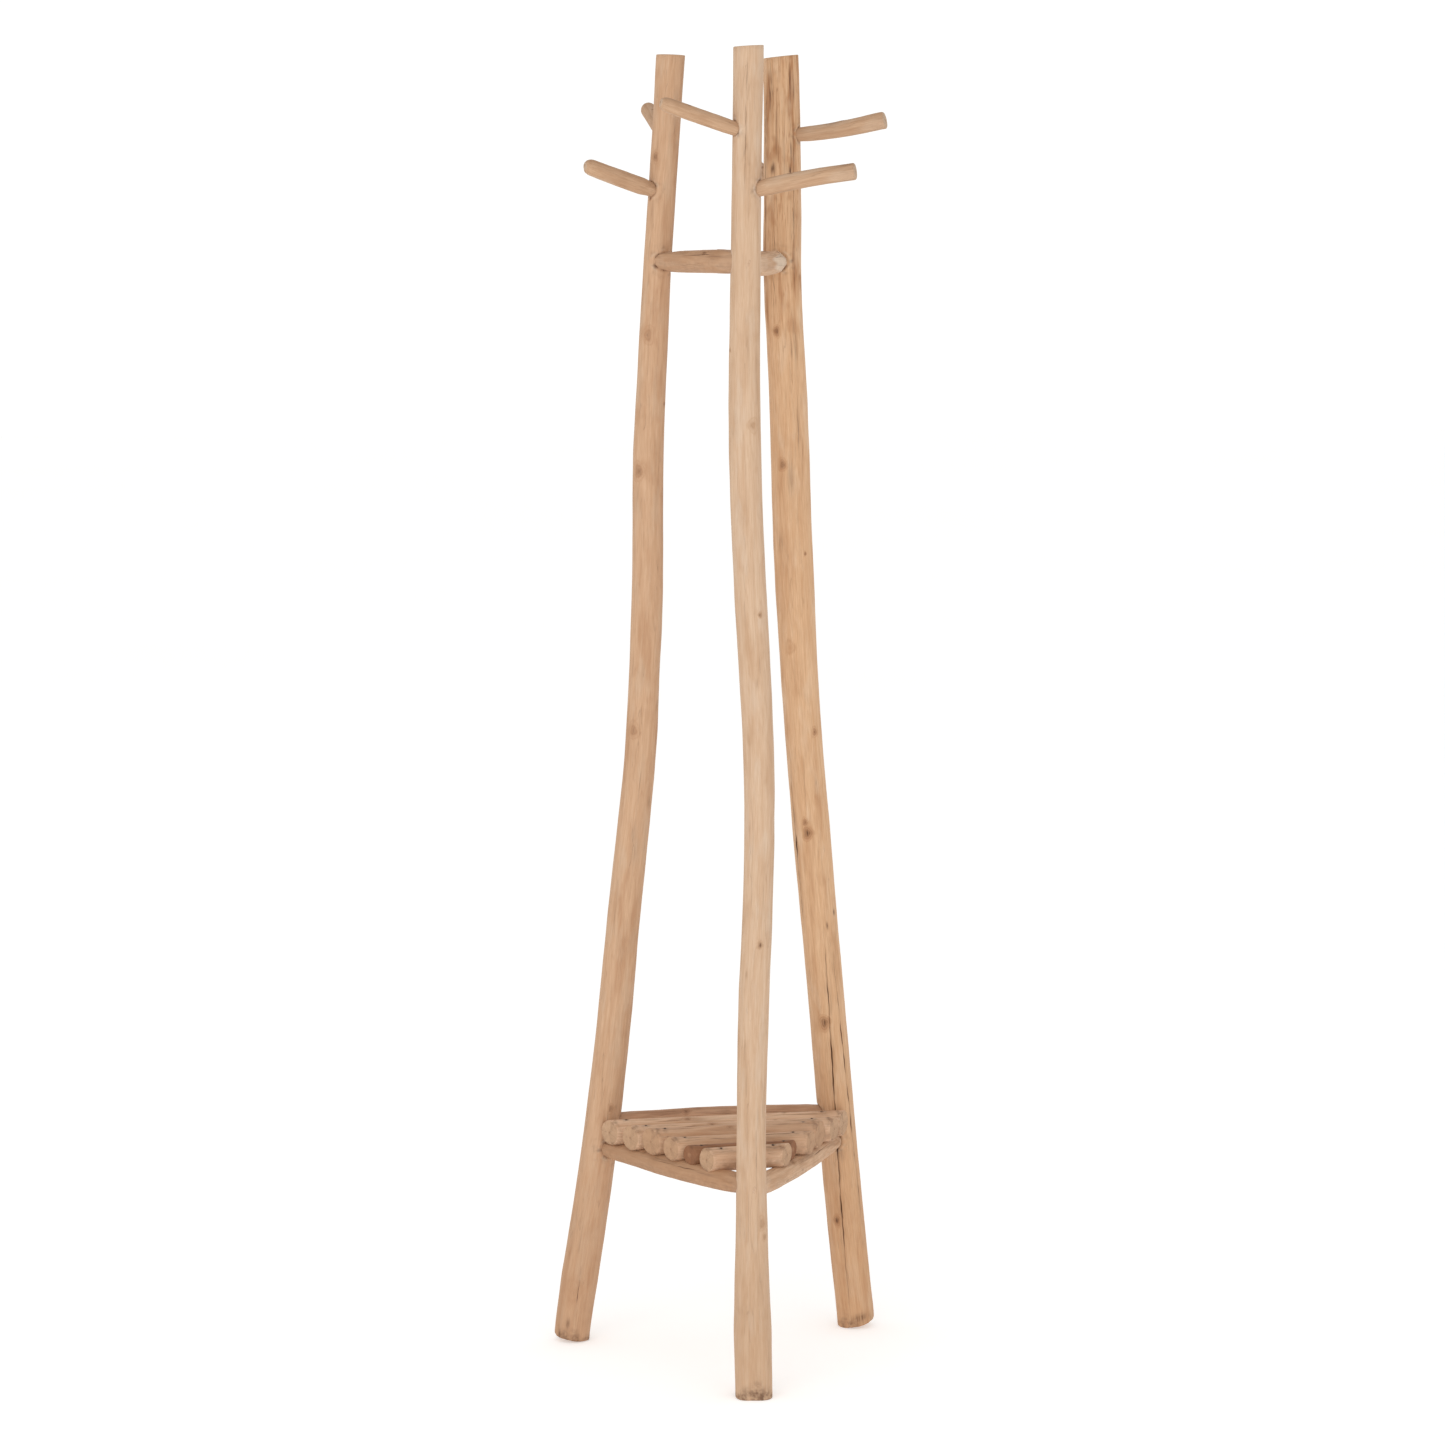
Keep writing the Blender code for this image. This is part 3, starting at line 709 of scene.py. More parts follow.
@dataclass
class Branch:
    """One piece of peeled branch, from a CAD node's line to a finished mesh."""

    name: str
    nodes: tuple[str, ...]
    slot: str
    finish: bpy.types.Material
    line: Line
    front: Vector  # the side from which bearings are counted
    columns: int = 72
    spacing: float = 3.0 * MM
    relief: float = 0.45 * MM
    hewn: float = 0.0  # how far the section is squared off, as a share of the radius
    squared: float = 0.0  # length from the start over which the section turns from square to round
    tone: float = 0.0  # how much darker than its kind this piece is
    flank_shade: float = 0.0  # how much painted shade darkens its flanks and its underside
    ends: tuple[End, End] = (End(), End())
    marks: tuple[Knot | Crack | Smudge, ...] = ()
    seats: tuple[Seat, ...] = ()
    by_height: bool = True  # whether marks give a height above the floor, or a distance along the branch
    seed: int = 1

    def cracks(self) -> list[Crack]:
        """The cracks among its marks."""
        return [mark for mark in self.marks if isinstance(mark, Crack)]

    def wander(self, height: np.ndarray) -> np.ndarray:
        """How far a crack strays sideways at heights along it."""
        return 0.35 * MM * np.sin(height * 75 + self.seed) + 0.2 * MM * np.sin(height * 310)

    def place_of(self, height: float) -> float:
        """The place along the line for a mark's height."""
        if not self.by_height:
            return height
        return float(np.interp(height, self.line.points[:, 2], self.line.places))

    def stations(self, length: float) -> np.ndarray:
        """Shares of the length at which rings stand, closer together at knots and seats."""
        ticks = np.linspace(0, 1, 2001)
        density = np.full_like(ticks, 1 / self.spacing)
        focus = [(self.place_of(m.height), 2.2 * m.size) for m in self.marks if isinstance(m, Knot)]
        for seat in self.seats:
            apart = np.linalg.norm(self.line.points - np.array(seat.point), axis=1)
            focus.append((self.line.places[apart.argmin()], 1.6 * seat.radius))
        for place, reach in focus:
            density += np.exp(-(((ticks * length - place) / reach) ** 2)) / FINE_SPACING
        density = np.minimum(density, 1 / LEAST_SPACING)
        total = np.concatenate([[0.0], np.cumsum((density[1:] + density[:-1]) / 2 * np.diff(ticks) * length)])
        count = int(total[-1]) + 1
        return np.interp(np.linspace(0, total[-1], count), total, ticks)

    def bearings(self) -> np.ndarray:
        """Angles at which the columns stand, closer together along cracks."""
        turns = list(np.arange(self.columns) / self.columns * math.tau - math.pi)
        radius = float(self.line.radii.mean())
        for crack in self.cracks():
            offsets = np.array(CRACK_COLUMNS) * crack.width / 2 / radius
            kept = [turn for turn in turns if abs(turn - crack.middle) > 1.6 * crack.width / radius]
            turns = kept + list(crack.middle + offsets)
        return np.sort(np.array(turns))

    def surface(self) -> tuple[np.ndarray, dict[str, np.ndarray]]:
        """The outer surface.

        Returns:
            Its points, rings by columns by 3, and its masks, rings by columns.
        """
        line = self.line
        length = line.places[-1] - line.places[0]
        turns, shares = self.bearings(), self.stations(length)
        turn = np.repeat(turns[None, :], len(shares), 0)
        place = np.repeat((shares * length)[:, None], len(turns), 1)
        height = line.at(place[:, 0])[0][:, 2] if self.by_height else place[:, 0]
        for crack in self.cracks():
            inside = np.clip(height, crack.bottom, crack.top)
            shift = crack.bearing(inside) - crack.bearing((crack.bottom + crack.top) / 2)
            shift += self.wander(inside) / line.at(place[:, 0])[1]
            turn = turn + shift[:, None] * np.exp(-((around(turn - crack.middle) / 0.5) ** 2))
        bend = max(0.03, length * 0.25)  # how far from an end the rings lean as its face does
        for ring, plane, tip, nearness in ((0, line.start, 0.0, 1 - shares), (-1, line.end, length, shares)):
            edge = self._meet(turn[ring], plane, tip)
            weight = np.clip(nearness[:, None] * length / bend + 1 - length / bend, 0, 1)
            place = place + (edge - tip)[None, :] * weight
        centre, radius = line.at(place)
        tangent, front, side = self._frames(place)
        way = np.cos(turn)[..., None] * front + np.sin(turn)[..., None] * side
        flat = np.stack([np.cos(turn) * radius, np.sin(turn) * radius, place], -1)
        relief = self.relief * (ripple(flat, 0.055, 0.21, self.seed) * 0.6
                                + ripple(flat, 0.026, 0.10, self.seed + 40) * 0.35)
        relief -= self.relief * 0.5 * np.maximum(0, ripple(flat, 0.019, 0.17, self.seed + 80)) ** 2
        flats = np.abs(np.cos(2 * (turn - 0.4))) ** 3
        relief -= radius * self.hewn * flats * (1 + 0.3 * ripple(flat, 0.04, 0.08, self.seed + 9))
        if self.squared:
            power = SQUARENESS
            corners = (np.abs(np.cos(turn)) ** power + np.abs(np.sin(turn)) ** power) ** (-1 / power) - 1
            relief += radius * corners * (1 - np.clip(place / self.squared, 0, 1)) ** 1.5
        masks = {key: np.zeros(turn.shape) for key in MASKS}
        masks["tone"] += self.tone
        # Painted shade on the flanks and the underside, carried by the soil-and-shade mask.
        masks["soil"] += self.flank_shade * 0.55 * np.clip((0.62 - np.cos(turn)) / 0.9, 0, 1) ** 1.5
        relief += self._knots(turn, place, radius, masks)
        relief -= self._cracks(turn, place, height, radius, masks)
        relief += self._shoulders(turn, place, length, radius, masks)
        points = centre + way * (radius + relief)[..., None]
        points, masks = self._seats(points, way, masks)
        self._grime(turn, place, length, masks)
        masks["across"], masks["over"], masks["along"] = np.cos(turn) * radius, np.sin(turn) * radius, place
        return points, masks

    def _frames(self, place: np.ndarray) -> tuple[np.ndarray, np.ndarray, np.ndarray]:
        """Tangent, front and side directions at places."""
        tangent = self.line.tangent(place)
        front = np.array(self.front)
        front = front - (tangent @ front)[..., None] * tangent
        front /= np.linalg.norm(front, axis=-1, keepdims=True)
        return tangent, front, np.cross(tangent, front)

    def _meet(self, turn: np.ndarray, plane: Plane, place: float) -> np.ndarray:
        """Places at which the columns meet an end's plane."""
        at = np.full(turn.shape, place)
        for _ in range(5):
            centre, radius = self.line.at(at)
            tangent, front, side = self._frames(at)
            way = np.cos(turn)[:, None] * front + np.sin(turn)[:, None] * side
            gap = ((centre + way * radius[:, None]) - plane.point) @ plane.normal
            at = at - gap / (tangent @ plane.normal)
        return at

    def _knots(self, turn: np.ndarray, place: np.ndarray, radius: np.ndarray, masks: dict) -> np.ndarray:
        """Relief of the knots and smudges, whose masks it fills in."""
        relief = np.zeros(turn.shape)
        for mark in (m for m in self.marks if not isinstance(m, Crack)):
            gap = around(turn - mark.bearing) * radius
            rise = place - self.place_of(mark.height)
            if isinstance(mark, Smudge):
                near = (gap / mark.width) ** 2 + (rise / mark.length) ** 2
                masks["dark"] = np.maximum(masks["dark"], mark.dark * np.exp(-near))
                continue
            near = np.sqrt((gap / mark.size) ** 2 + (rise / (1.45 * mark.size)) ** 2)
            near = near * (1 + 0.12 * np.sin(3 * np.arctan2(rise, gap) + mark.height * 50))
            strength = 0.4 + 0.6 * min(1.0, 2 * mark.dark)
            masks["knot"] = np.maximum(masks["knot"], strength * np.clip(1 - near / 1.5, 0, 1))
            masks["dark"] = np.maximum(masks["dark"], mark.dark * np.exp(-((near / 0.5) ** 2)))
            relief += mark.swelling * (np.exp(-((near / 1.7) ** 2)) - 0.9 * np.exp(-((near / 0.45) ** 2)))
        return relief

    def _cracks(self, turn: np.ndarray, place: np.ndarray, height: np.ndarray, radius: np.ndarray,
                masks: dict) -> np.ndarray:
        """Depth of the cracks, whose masks it fills in."""
        depth = np.zeros(turn.shape)
        for number, crack in enumerate(self.cracks()):
            inside = np.clip(height, crack.bottom, crack.top)
            middle = crack.bearing(inside) + self.wander(inside) / self.line.at(place[:, 0])[1]
            share = np.clip((height - crack.bottom) / (crack.top - crack.bottom), 0, 1)
            open_by = np.sin(math.pi * share) ** 0.6
            open_by *= 0.72 + 0.28 * np.sin(height * 41 + number * 2.1) * np.sin(height * 97 + number)
            half = np.maximum(crack.width / 2 * open_by, 1e-6)[:, None]
            gap = np.abs(around(turn - middle[:, None]) * radius)
            inner = np.clip(1 - gap / half, 0, 1) * (share > 0)[:, None] * (share < 1)[:, None]
            depth = np.maximum(depth, crack.depth * open_by[:, None] * inner)
            # Painted shade: the crack's inside is darkened through the dark mask, with a faint darker halo
            # beside it.
            masks["dark"] = np.maximum(masks["dark"], 1.3 * inner**0.35 * open_by[:, None])
            halo = np.exp(-((gap / (2.2 * crack.width)) ** 2)) * open_by[:, None]
            masks["dark"] = np.maximum(masks["dark"], 0.16 * halo)
        return depth

    def _shoulders(self, turn: np.ndarray, place: np.ndarray, length: float, radius: np.ndarray,
                   masks: dict) -> np.ndarray:
        """Relief of the knife facets next to the ends, whose mask it fills in."""
        relief = np.zeros(turn.shape)
        for index, end in enumerate(self.ends):
            if not end.shoulder:
                continue
            away = place if index == 0 else length - place
            ragged = end.shoulder * (1 + 0.3 * np.sin(3 * turn + self.seed) + 0.15 * np.sin(7 * turn))
            mask = np.clip((ragged - away) / (0.25 * end.shoulder) + 0.5, 0, 1)
            wedge = (turn * FACETS / math.tau + 0.23 * self.seed) % 1 - 0.5
            sink = 1 - math.cos(math.pi / FACETS) / np.cos(wedge * math.tau / FACETS)
            relief -= mask * radius * (sink + 0.012)
            masks["whittled"] = np.maximum(masks["whittled"], mask * end.bare)
        return relief

    def _seats(self, points: np.ndarray, way: np.ndarray, masks: dict) -> tuple[np.ndarray, dict]:
        """Painted shadow in the gap round the branches that enter this one, a dent there, and trodden fibres.
        """
        for seat in self.seats:
            offset, out = points - np.array(seat.point), np.array(seat.way)
            along = offset @ out
            apart = np.linalg.norm(offset - along[..., None] * out, axis=-1) - seat.radius
            near = (np.abs(along) < 3.2 * seat.radius) & (apart < 14 * MM) & ((way @ out) > -0.2)
            near &= along > -seat.depth
            gap = np.where(near, np.maximum(apart, 0), 1.0)
            worn = 0.5 + 0.5 * ripple(points, 0.012, 0.012, self.seed + 120)
            tight = seat.shadow * (0.35 + 0.65 * np.clip(worn, 0, 1))
            # Painted shadow: a dark line in the gap round the joint, and a broad uneven darkening round it
            # through the soil-and-shade mask.
            masks["dark"] = np.maximum(masks["dark"], tight * np.exp(-((gap / (1.2 * MM)) ** 2)))
            masks["soil"] = np.maximum(masks["soil"], 0.75 * tight * worn * np.exp(-((gap / (9 * MM)) ** 2)))
            rim = np.exp(-(((gap - 3.4 * MM) / (1.5 * MM)) ** 2))
            masks["whittled"] = np.maximum(masks["whittled"], np.clip(worn, 0, 1) * rim)
            points = points - way * (1.1 * MM * np.exp(-((gap / (1.7 * MM)) ** 2)))[..., None]
        return points, masks

    def _grime(self, turn: np.ndarray, place: np.ndarray, length: float, masks: dict) -> None:
        """Darkens the rims of the ends that stand or are handled."""
        for index, end in enumerate(self.ends):
            if end.grime:
                away = place if index == 0 else length - place
                reach = end.stained * (1.2 + np.sin(3 * turn + self.seed) * 0.6 + np.sin(8 * turn) * 0.25)
                masks["soil"] = np.maximum(masks["soil"], end.grime * np.exp(-((away / reach) ** 2)))

    def _closed_end(self, ring: np.ndarray, centre: np.ndarray, normal: np.ndarray, end: End,
                    radius: float, seed: int) -> tuple[list[np.ndarray], list[float]]:
        """Rings from an end's rim to its middle, and each one's share of end grain."""
        turns = np.linspace(0, math.tau, len(ring), endpoint=False)
        draw = np.random.default_rng(seed)
        bites = np.zeros(len(ring))
        if end.chips:
            for _ in range(CHIPS):
                at, wide = draw.uniform(0, math.tau), draw.uniform(0.1, 0.4)
                bites = np.maximum(bites, draw.uniform(0.3, 1.0) * np.exp(-((around(turns - at) / wide) ** 2)))
        size = (end.edge + end.chips * bites)[:, None]
        inwards = centre - ring
        inwards /= np.linalg.norm(inwards, axis=1, keepdims=True)
        rings, grain = [], []
        if end.cut is Cut.DOMED:
            for share in np.arange(1, DOME_RINGS) / DOME_RINGS:
                angle = share * math.pi / 2
                rise = DOME_RISE * radius * (math.sin(angle) - 1)
                rings.append(centre + (ring - centre) * math.cos(angle) ** 0.62 + normal * rise)
                grain.append(min(1.0, share * 1.5))
            return rings, grain
        for turn in (0.25, 0.55, 0.8, 1.0):
            angle = turn * math.pi / 2
            rings.append(ring + inwards * size * (1 - math.cos(angle)) + normal * size * (math.sin(angle) - 1))
            grain.append(turn * 0.9)
        rim = rings[-1]
        for share in (0.86, 0.68, 0.48, 0.28, 0.12):
            rings.append(centre + (rim - centre) * share)
            grain.append(1.0)
        return rings, grain

    def build(self) -> None:
        """Makes the finished mesh, as an object that rides on the rack and stands for its CAD nodes."""
        points, masks = self.surface()
        rings, sheets = list(points), {key: list(mask) for key, mask in masks.items()}
        for index, end in enumerate(self.ends):
            plane = self.line.start if index == 0 else self.line.end
            rim = rings[0] if index == 0 else rings[-1]
            centre = rim.mean(0)
            centre = centre - ((centre - plane.point) @ plane.normal) * plane.normal
            radius = float(self.line.radii[0 if index == 0 else -1])
            caps, grain = self._closed_end(rim, centre, plane.normal, end, radius, self.seed + index)
            depth = DOME_RISE * radius if end.cut is Cut.DOMED else end.edge + end.chips
            rings, sheets = self._trim(rings, sheets, index, depth)
            here = {key: (sheet[0] if index == 0 else sheet[-1]) for key, sheet in sheets.items()}
            for cap, share in zip(caps, grain):
                local = self._grain_of(cap, 0.0 if index == 0 else float(self.line.places[-1]))
                fading = 0.4 if share > 0.5 else 1.0
                rows = {
                    "knot": here["knot"] * 0, "whittled": here["whittled"] * fading,
                    "dark": here["dark"] * fading, "soil": here["soil"] * (1.0 if 0.2 < share < 1.0 else 0.4),
                    "tone": here["tone"], "end": np.full(len(cap), share),
                    "across": local[0], "over": local[1], "along": local[2]}
                at = 0 if index == 0 else len(rings)
                rings.insert(at, cap)
                for key, sheet in sheets.items():
                    sheet.insert(at, rows[key])
        self._mesh(rings, sheets)

    def _trim(self, rings: list, sheets: dict, index: int, depth: float) -> tuple[list, dict]:
        """Drops the rings that a rounded edge takes the place of."""
        plane = self.line.start if index == 0 else self.line.end
        while True:
            ring = rings[0] if index == 0 else rings[-1]
            if ((plane.point - ring) @ plane.normal).min() >= depth or len(rings) < 8:
                return rings, sheets
            cut = slice(1, None) if index == 0 else slice(None, -1)
            rings = rings[cut]
            sheets = {key: sheet[cut] for key, sheet in sheets.items()}

    def _grain_of(self, points: np.ndarray, place: float) -> tuple[np.ndarray, np.ndarray, np.ndarray]:
        """Grain coordinates of points near an end."""
        at = np.full(len(points), place)
        centre, _ = self.line.at(at)
        tangent, front, side = self._frames(at)
        offset = points - centre
        return (offset * front).sum(1), (offset * side).sum(1), at + (offset * tangent).sum(1)

    def _mesh(self, rings: list, sheets: dict) -> None:
        """Puts rings and masks together as one closed mesh."""
        count, wide = len(rings), len(rings[0])
        places = np.concatenate([*rings, rings[0].mean(0)[None], rings[-1].mean(0)[None]])
        ring, column = np.meshgrid(np.arange(count - 1), np.arange(wide), indexing="ij")
        after = (column + 1) % wide
        quads = np.stack([ring * wide + column, ring * wide + after,
                          (ring + 1) * wide + after, (ring + 1) * wide + column], -1).reshape(-1, 4)
        index = np.arange(wide)
        nxt = (index + 1) % wide
        top = (count - 1) * wide
        start = np.stack([nxt, index, np.full(wide, count * wide)], -1)
        end = np.stack([top + index, top + nxt, np.full(wide, count * wide + 1)], -1)
        mesh = bpy.data.meshes.new(self.name)
        mesh.from_pydata(places.tolist(), [], quads.tolist() + start.tolist() + end.tolist())
        values = {key: np.concatenate([*sheet, sheet[0].mean()[None], sheet[-1].mean()[None]])
                  for key, sheet in sheets.items()}
        grain = mesh.attributes.new("grain", "FLOAT_VECTOR", "POINT")
        vectors = np.stack([values["across"], values["over"], values["along"]], -1)
        grain.data.foreach_set("vector", vectors.ravel())
        for key in MASKS:
            layer = mesh.attributes.new(key, "FLOAT", "POINT")
            layer.data.foreach_set("value", values[key].astype(np.float32))
        mesh.shade_smooth()
        mesh.materials.append(self.finish)
        mesh.validate()
        made = placed(self.name, mesh)
        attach(made, "root")
        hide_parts(*self.nodes)
        LOG.info("%s: %d faces", self.name, len(mesh.polygons))


# ---------------------------------------------------------------------------------- sub-assemblies


def seat_on(post: Line, entering: Line) -> Seat:
    """Where a branch enters a post.

    Args:
        post: The post's line.
        entering: The line of the branch that enters it.

    Returns:
        The seat, whose direction points out of the post.
    """
    gaps = np.linalg.norm(entering.points[:, None, :] - post.points[None, ::4, :], axis=2)
    nearest = gaps.argmin(1)
    outside = gaps.min(1) - post.radii[::4][nearest]
    at = int(abs(outside).argmin())
    way = entering.tangent(entering.places[at : at + 1])[0]
    out = entering.points[at] - post.points[::4][nearest[at]]
    way = way if way @ out > 0 else -way
    onwards = 4 if way @ (entering.points[-1] - entering.points[0]) > 0 else -4
    further = int(np.clip(at + onwards, 0, len(entering.radii) - 1))
    return Seat(Vector(entering.points[at]), Vector(way), float(entering.radii[further]))


def filled_out(line: Line, start: float, end: float, reach: float = 0.045) -> Line:
    """A rail's line with its tapers filled out towards full thickness.

    Args:
        line: The line as measured.
        start: How far the taper at the start is filled out, from 0 to 1.
        end: The same at the other end.
        reach: How far from an end the tapers go.

    Returns:
        The new line.
    """
    radii = line.radii.copy()
    for share, near in ((start, line.places < reach), (end, line.places > line.places[-1] - reach)):
        radii[near] += (radii[near].max() - radii[near]) * share
    return replace(line, radii=radii)


# Each post's knots, cracks and smudges: those that are seen, about from the top down, and then those behind.
POST_MARKS: dict[str, tuple[Knot | Crack | Smudge, ...]] = {
    "front": (
        Knot(1.396, -0.93, 2.6 * MM, 0.3 * MM, 0.8), Knot(1.296, 0.52, 8 * MM, 0.7 * MM, 0.12),
        Knot(1.043, 0.50, 3.0 * MM, 0.5 * MM, 0.55), Smudge(0.952, 0.09, 6 * MM, 0.9 * MM, 0.5),
        Knot(0.603, 0.24, 4.0 * MM, 0.4 * MM, 0.8), Smudge(0.563, -0.58, 5 * MM, 1.6 * MM, 0.35),
        Knot(0.232, 0.65, 7 * MM, 0.8 * MM, 0.2), Knot(0.214, 0.78, 4 * MM, 0.5 * MM, 0.3),
        Smudge(0.150, 0.45, 20 * MM, 4 * MM, 0.16), Smudge(1.60, 0.15, 60 * MM, 0.7 * MM, 0.22),
        Crack(1.60, 1.785, -0.14, -0.10, 0.7 * MM, 0.8 * MM),
        Crack(0.27, 0.36, 0.35, 0.30, 0.6 * MM, 0.6 * MM),
        Knot(1.18, 0.3, 9 * MM, 0.9 * MM, 0.3, behind=True),
        Knot(0.46, -0.4, 8 * MM, 0.8 * MM, 0.5, behind=True),
        Crack(0.55, 0.98, -0.1, 0.1, 1.1 * MM, 2.4 * MM, behind=True)),
    "left": (
        Knot(1.655, -0.60, 6 * MM, 0.6 * MM, 0.35), Knot(1.599, -0.80, 2.8 * MM, 0.4 * MM, 1.0),
        Smudge(1.578, -0.62, 14 * MM, 3 * MM, 0.3), Knot(1.414, -0.40, 9 * MM, 0.8 * MM, 0.22),
        Knot(1.321, 0.93, 3 * MM, 0.5 * MM, 0.8), Knot(1.228, -0.61, 9 * MM, 0.7 * MM, 0.3),
        Smudge(1.195, -0.70, 26 * MM, 4 * MM, 0.22), Knot(0.870, -0.51, 9 * MM, 0.9 * MM, 0.2),
        Smudge(0.905, 0.93, 10 * MM, 3 * MM, 0.35), Smudge(0.772, 0.86, 9 * MM, 3 * MM, 0.3),
        Smudge(0.707, 0.28, 26 * MM, 5 * MM, 0.14), Knot(0.340, 0.40, 5 * MM, 0.4 * MM, 0.3),
        Knot(0.078, -0.20, 15 * MM, 0.8 * MM, 0.0), Smudge(0.028, -0.31, 7 * MM, 3 * MM, 0.55),
        Smudge(0.012, -0.66, 6 * MM, 5 * MM, 0.65), Crack(0.03, 0.115, 0.02, 0.0, 0.8 * MM, 1.0 * MM),
        Knot(1.02, 0.2, 10 * MM, 1.0 * MM, 0.4, behind=True),
        Knot(0.55, -0.3, 7 * MM, 0.8 * MM, 0.6, behind=True),
        Crack(1.15, 1.52, 0.2, 0.25, 1.3 * MM, 3 * MM, behind=True)),
    "right": (
        Smudge(1.752, -0.64, 30 * MM, 2.0 * MM, 0.75), Smudge(1.745, -0.50, 18 * MM, 1.5 * MM, 0.5),
        Smudge(1.755, 0.47, 20 * MM, 1.9 * MM, 0.75), Smudge(1.748, 0.66, 14 * MM, 1.3 * MM, 0.7),
        Smudge(1.690, -0.30, 34 * MM, 1.1 * MM, 0.35), Smudge(1.655, 0.10, 40 * MM, 1.0 * MM, 0.35),
        Smudge(1.640, -0.52, 8 * MM, 3.2 * MM, 0.85), Smudge(1.637, 0.38, 7 * MM, 3.4 * MM, 0.8),
        Smudge(1.660, 0.48, 20 * MM, 1.5 * MM, 0.55), Crack(1.465, 1.700, 0.61, 0.60, 2.6 * MM, 4 * MM),
        # This crack down the left edge is partly a real crack and partly a painted shadow of the gap beside
        # the post.
        Crack(1.475, 1.760, -0.90, -0.88, 2.0 * MM, 3 * MM),
        Knot(1.421, -0.44, 5.5 * MM, 0.5 * MM, 0.55), Smudge(1.400, 0.53, 32 * MM, 2.6 * MM, 0.4),
        Smudge(1.392, 0.30, 14 * MM, 1.2 * MM, 0.4), Smudge(1.290, 0.46, 30 * MM, 1.8 * MM, 0.5),
        Knot(1.237, -0.42, 6 * MM, 0.5 * MM, 0.45), Smudge(1.219, 0.02, 24 * MM, 4.5 * MM, 0.28),
        Knot(1.113, 0.60, 2.2 * MM, 0.4 * MM, 0.85), Smudge(1.128, -0.66, 10 * MM, 3.5 * MM, 0.4),
        Knot(0.985, -0.42, 9 * MM, 0.5 * MM, 0.0), Knot(0.864, 0.60, 5 * MM, 0.4 * MM, 0.3),
        Crack(0.575, 0.845, -0.87, -0.86, 2.4 * MM, 4 * MM), Knot(0.739, -0.30, 4.5 * MM, 0.4 * MM, 0.4),
        Knot(0.724, -0.22, 7 * MM, 0.6 * MM, 0.62), Smudge(0.606, 0.84, 4 * MM, 1.8 * MM, 0.85),
        Smudge(0.590, 0.40, 5 * MM, 1.6 * MM, 0.6), Crack(0.035, 0.590, -0.30, 0.20, 2.5 * MM, 5 * MM),
        Crack(0.105, 0.570, 0.90, 0.56, 1.8 * MM, 3.5 * MM), Knot(0.452, -0.22, 7.5 * MM, 0.7 * MM, 0.5),
        Knot(0.164, -0.46, 6 * MM, 0.5 * MM, 0.65), Smudge(0.258, 0.10, 8 * MM, 4 * MM, 0.3),
        Smudge(0.018, 0.25, 5 * MM, 12 * MM, 0.6),
        Knot(1.32, 0.1, 11 * MM, 1.1 * MM, 0.5, behind=True),
        Knot(0.62, 0.3, 9 * MM, 0.9 * MM, 0.5, behind=True),
        Crack(0.72, 1.28, 0.3, 0.1, 1.6 * MM, 3.5 * MM, behind=True)),
}


@dataclass
class Posts:
    """The three legs, which lean inwards and carry everything else."""

    spacing: float = 3.6 * MM
    columns: int = 84
    foot_edge: float = 1.2 * MM
    # Angle between each foot's cut and the floor.
    foot_tilts: dict[str, float] = field(default_factory=lambda: {
        "front": 0.0, "left": math.radians(11), "right": math.radians(17)})
    foot_chips: dict[str, float] = field(default_factory=lambda: {
        "front": 2.0 * MM, "left": 2.0 * MM, "right": 3.0 * MM})
    # Length over which each foot turns from square to round.
    foot_squared: dict[str, float] = field(default_factory=lambda: {"front": 0.11, "left": 0.0, "right": 0.0})
    top_edge: float = 0.8 * MM
    # Share of each top's sideways slope that is kept.
    top_lean: dict[str, float] = field(default_factory=lambda: {"front": 0.5, "left": 1.0, "right": 1.1})
    lines: dict[str, Line] = field(default_factory=dict, init=False)

    def __post_init__(self) -> None:
        """Measures the posts, tilts the rear ones on to the inner edges of their feet and trims the tops."""
        for side, tilt in self.foot_tilts.items():
            line = measure(f"{side}_post", UP, 3 * MM, 9 * MM)
            inwards = np.array(RACK_AXIS) - line.points[0] * (1, 1, 0)
            inwards /= np.linalg.norm(inwards)
            normal = -np.array(UP) * math.cos(tilt) - inwards * math.sin(tilt)
            rise = line.radii[0] * math.sin(tilt)
            top = line.end.normal * (self.top_lean[side], 1.0, 1.0)
            self.lines[side] = replace(
                line, start=Plane(line.start.point + np.array(UP) * rise, normal),
                end=Plane(line.end.point, top / np.linalg.norm(top)))

    def build(self, side: str, entering: list[Line], finish: bpy.types.Material, seed: int) -> None:
        """Makes one post.

        Args:
            side: Which post.
            entering: The lines of the pegs and rails that it carries.
            finish: Its wood.
            seed: What sets its relief apart.
        """
        line = self.lines[side]
        foot = End(edge=self.foot_edge, chips=self.foot_chips[side], grime=0.8, stained=9 * MM)
        top = End(edge=self.top_edge, chips=0.5 * MM, grime=0.10)
        seats = tuple(seat_on(line, branch) for branch in entering)
        Branch(
            f"{side}_post_wood", (f"{side}_post",), f"{side}_post_wood", finish, line, TO_VIEWER, self.columns,
            self.spacing, ends=(foot, top), marks=POST_MARKS[side], seats=seats,
            squared=self.foot_squared[side], seed=seed).build()


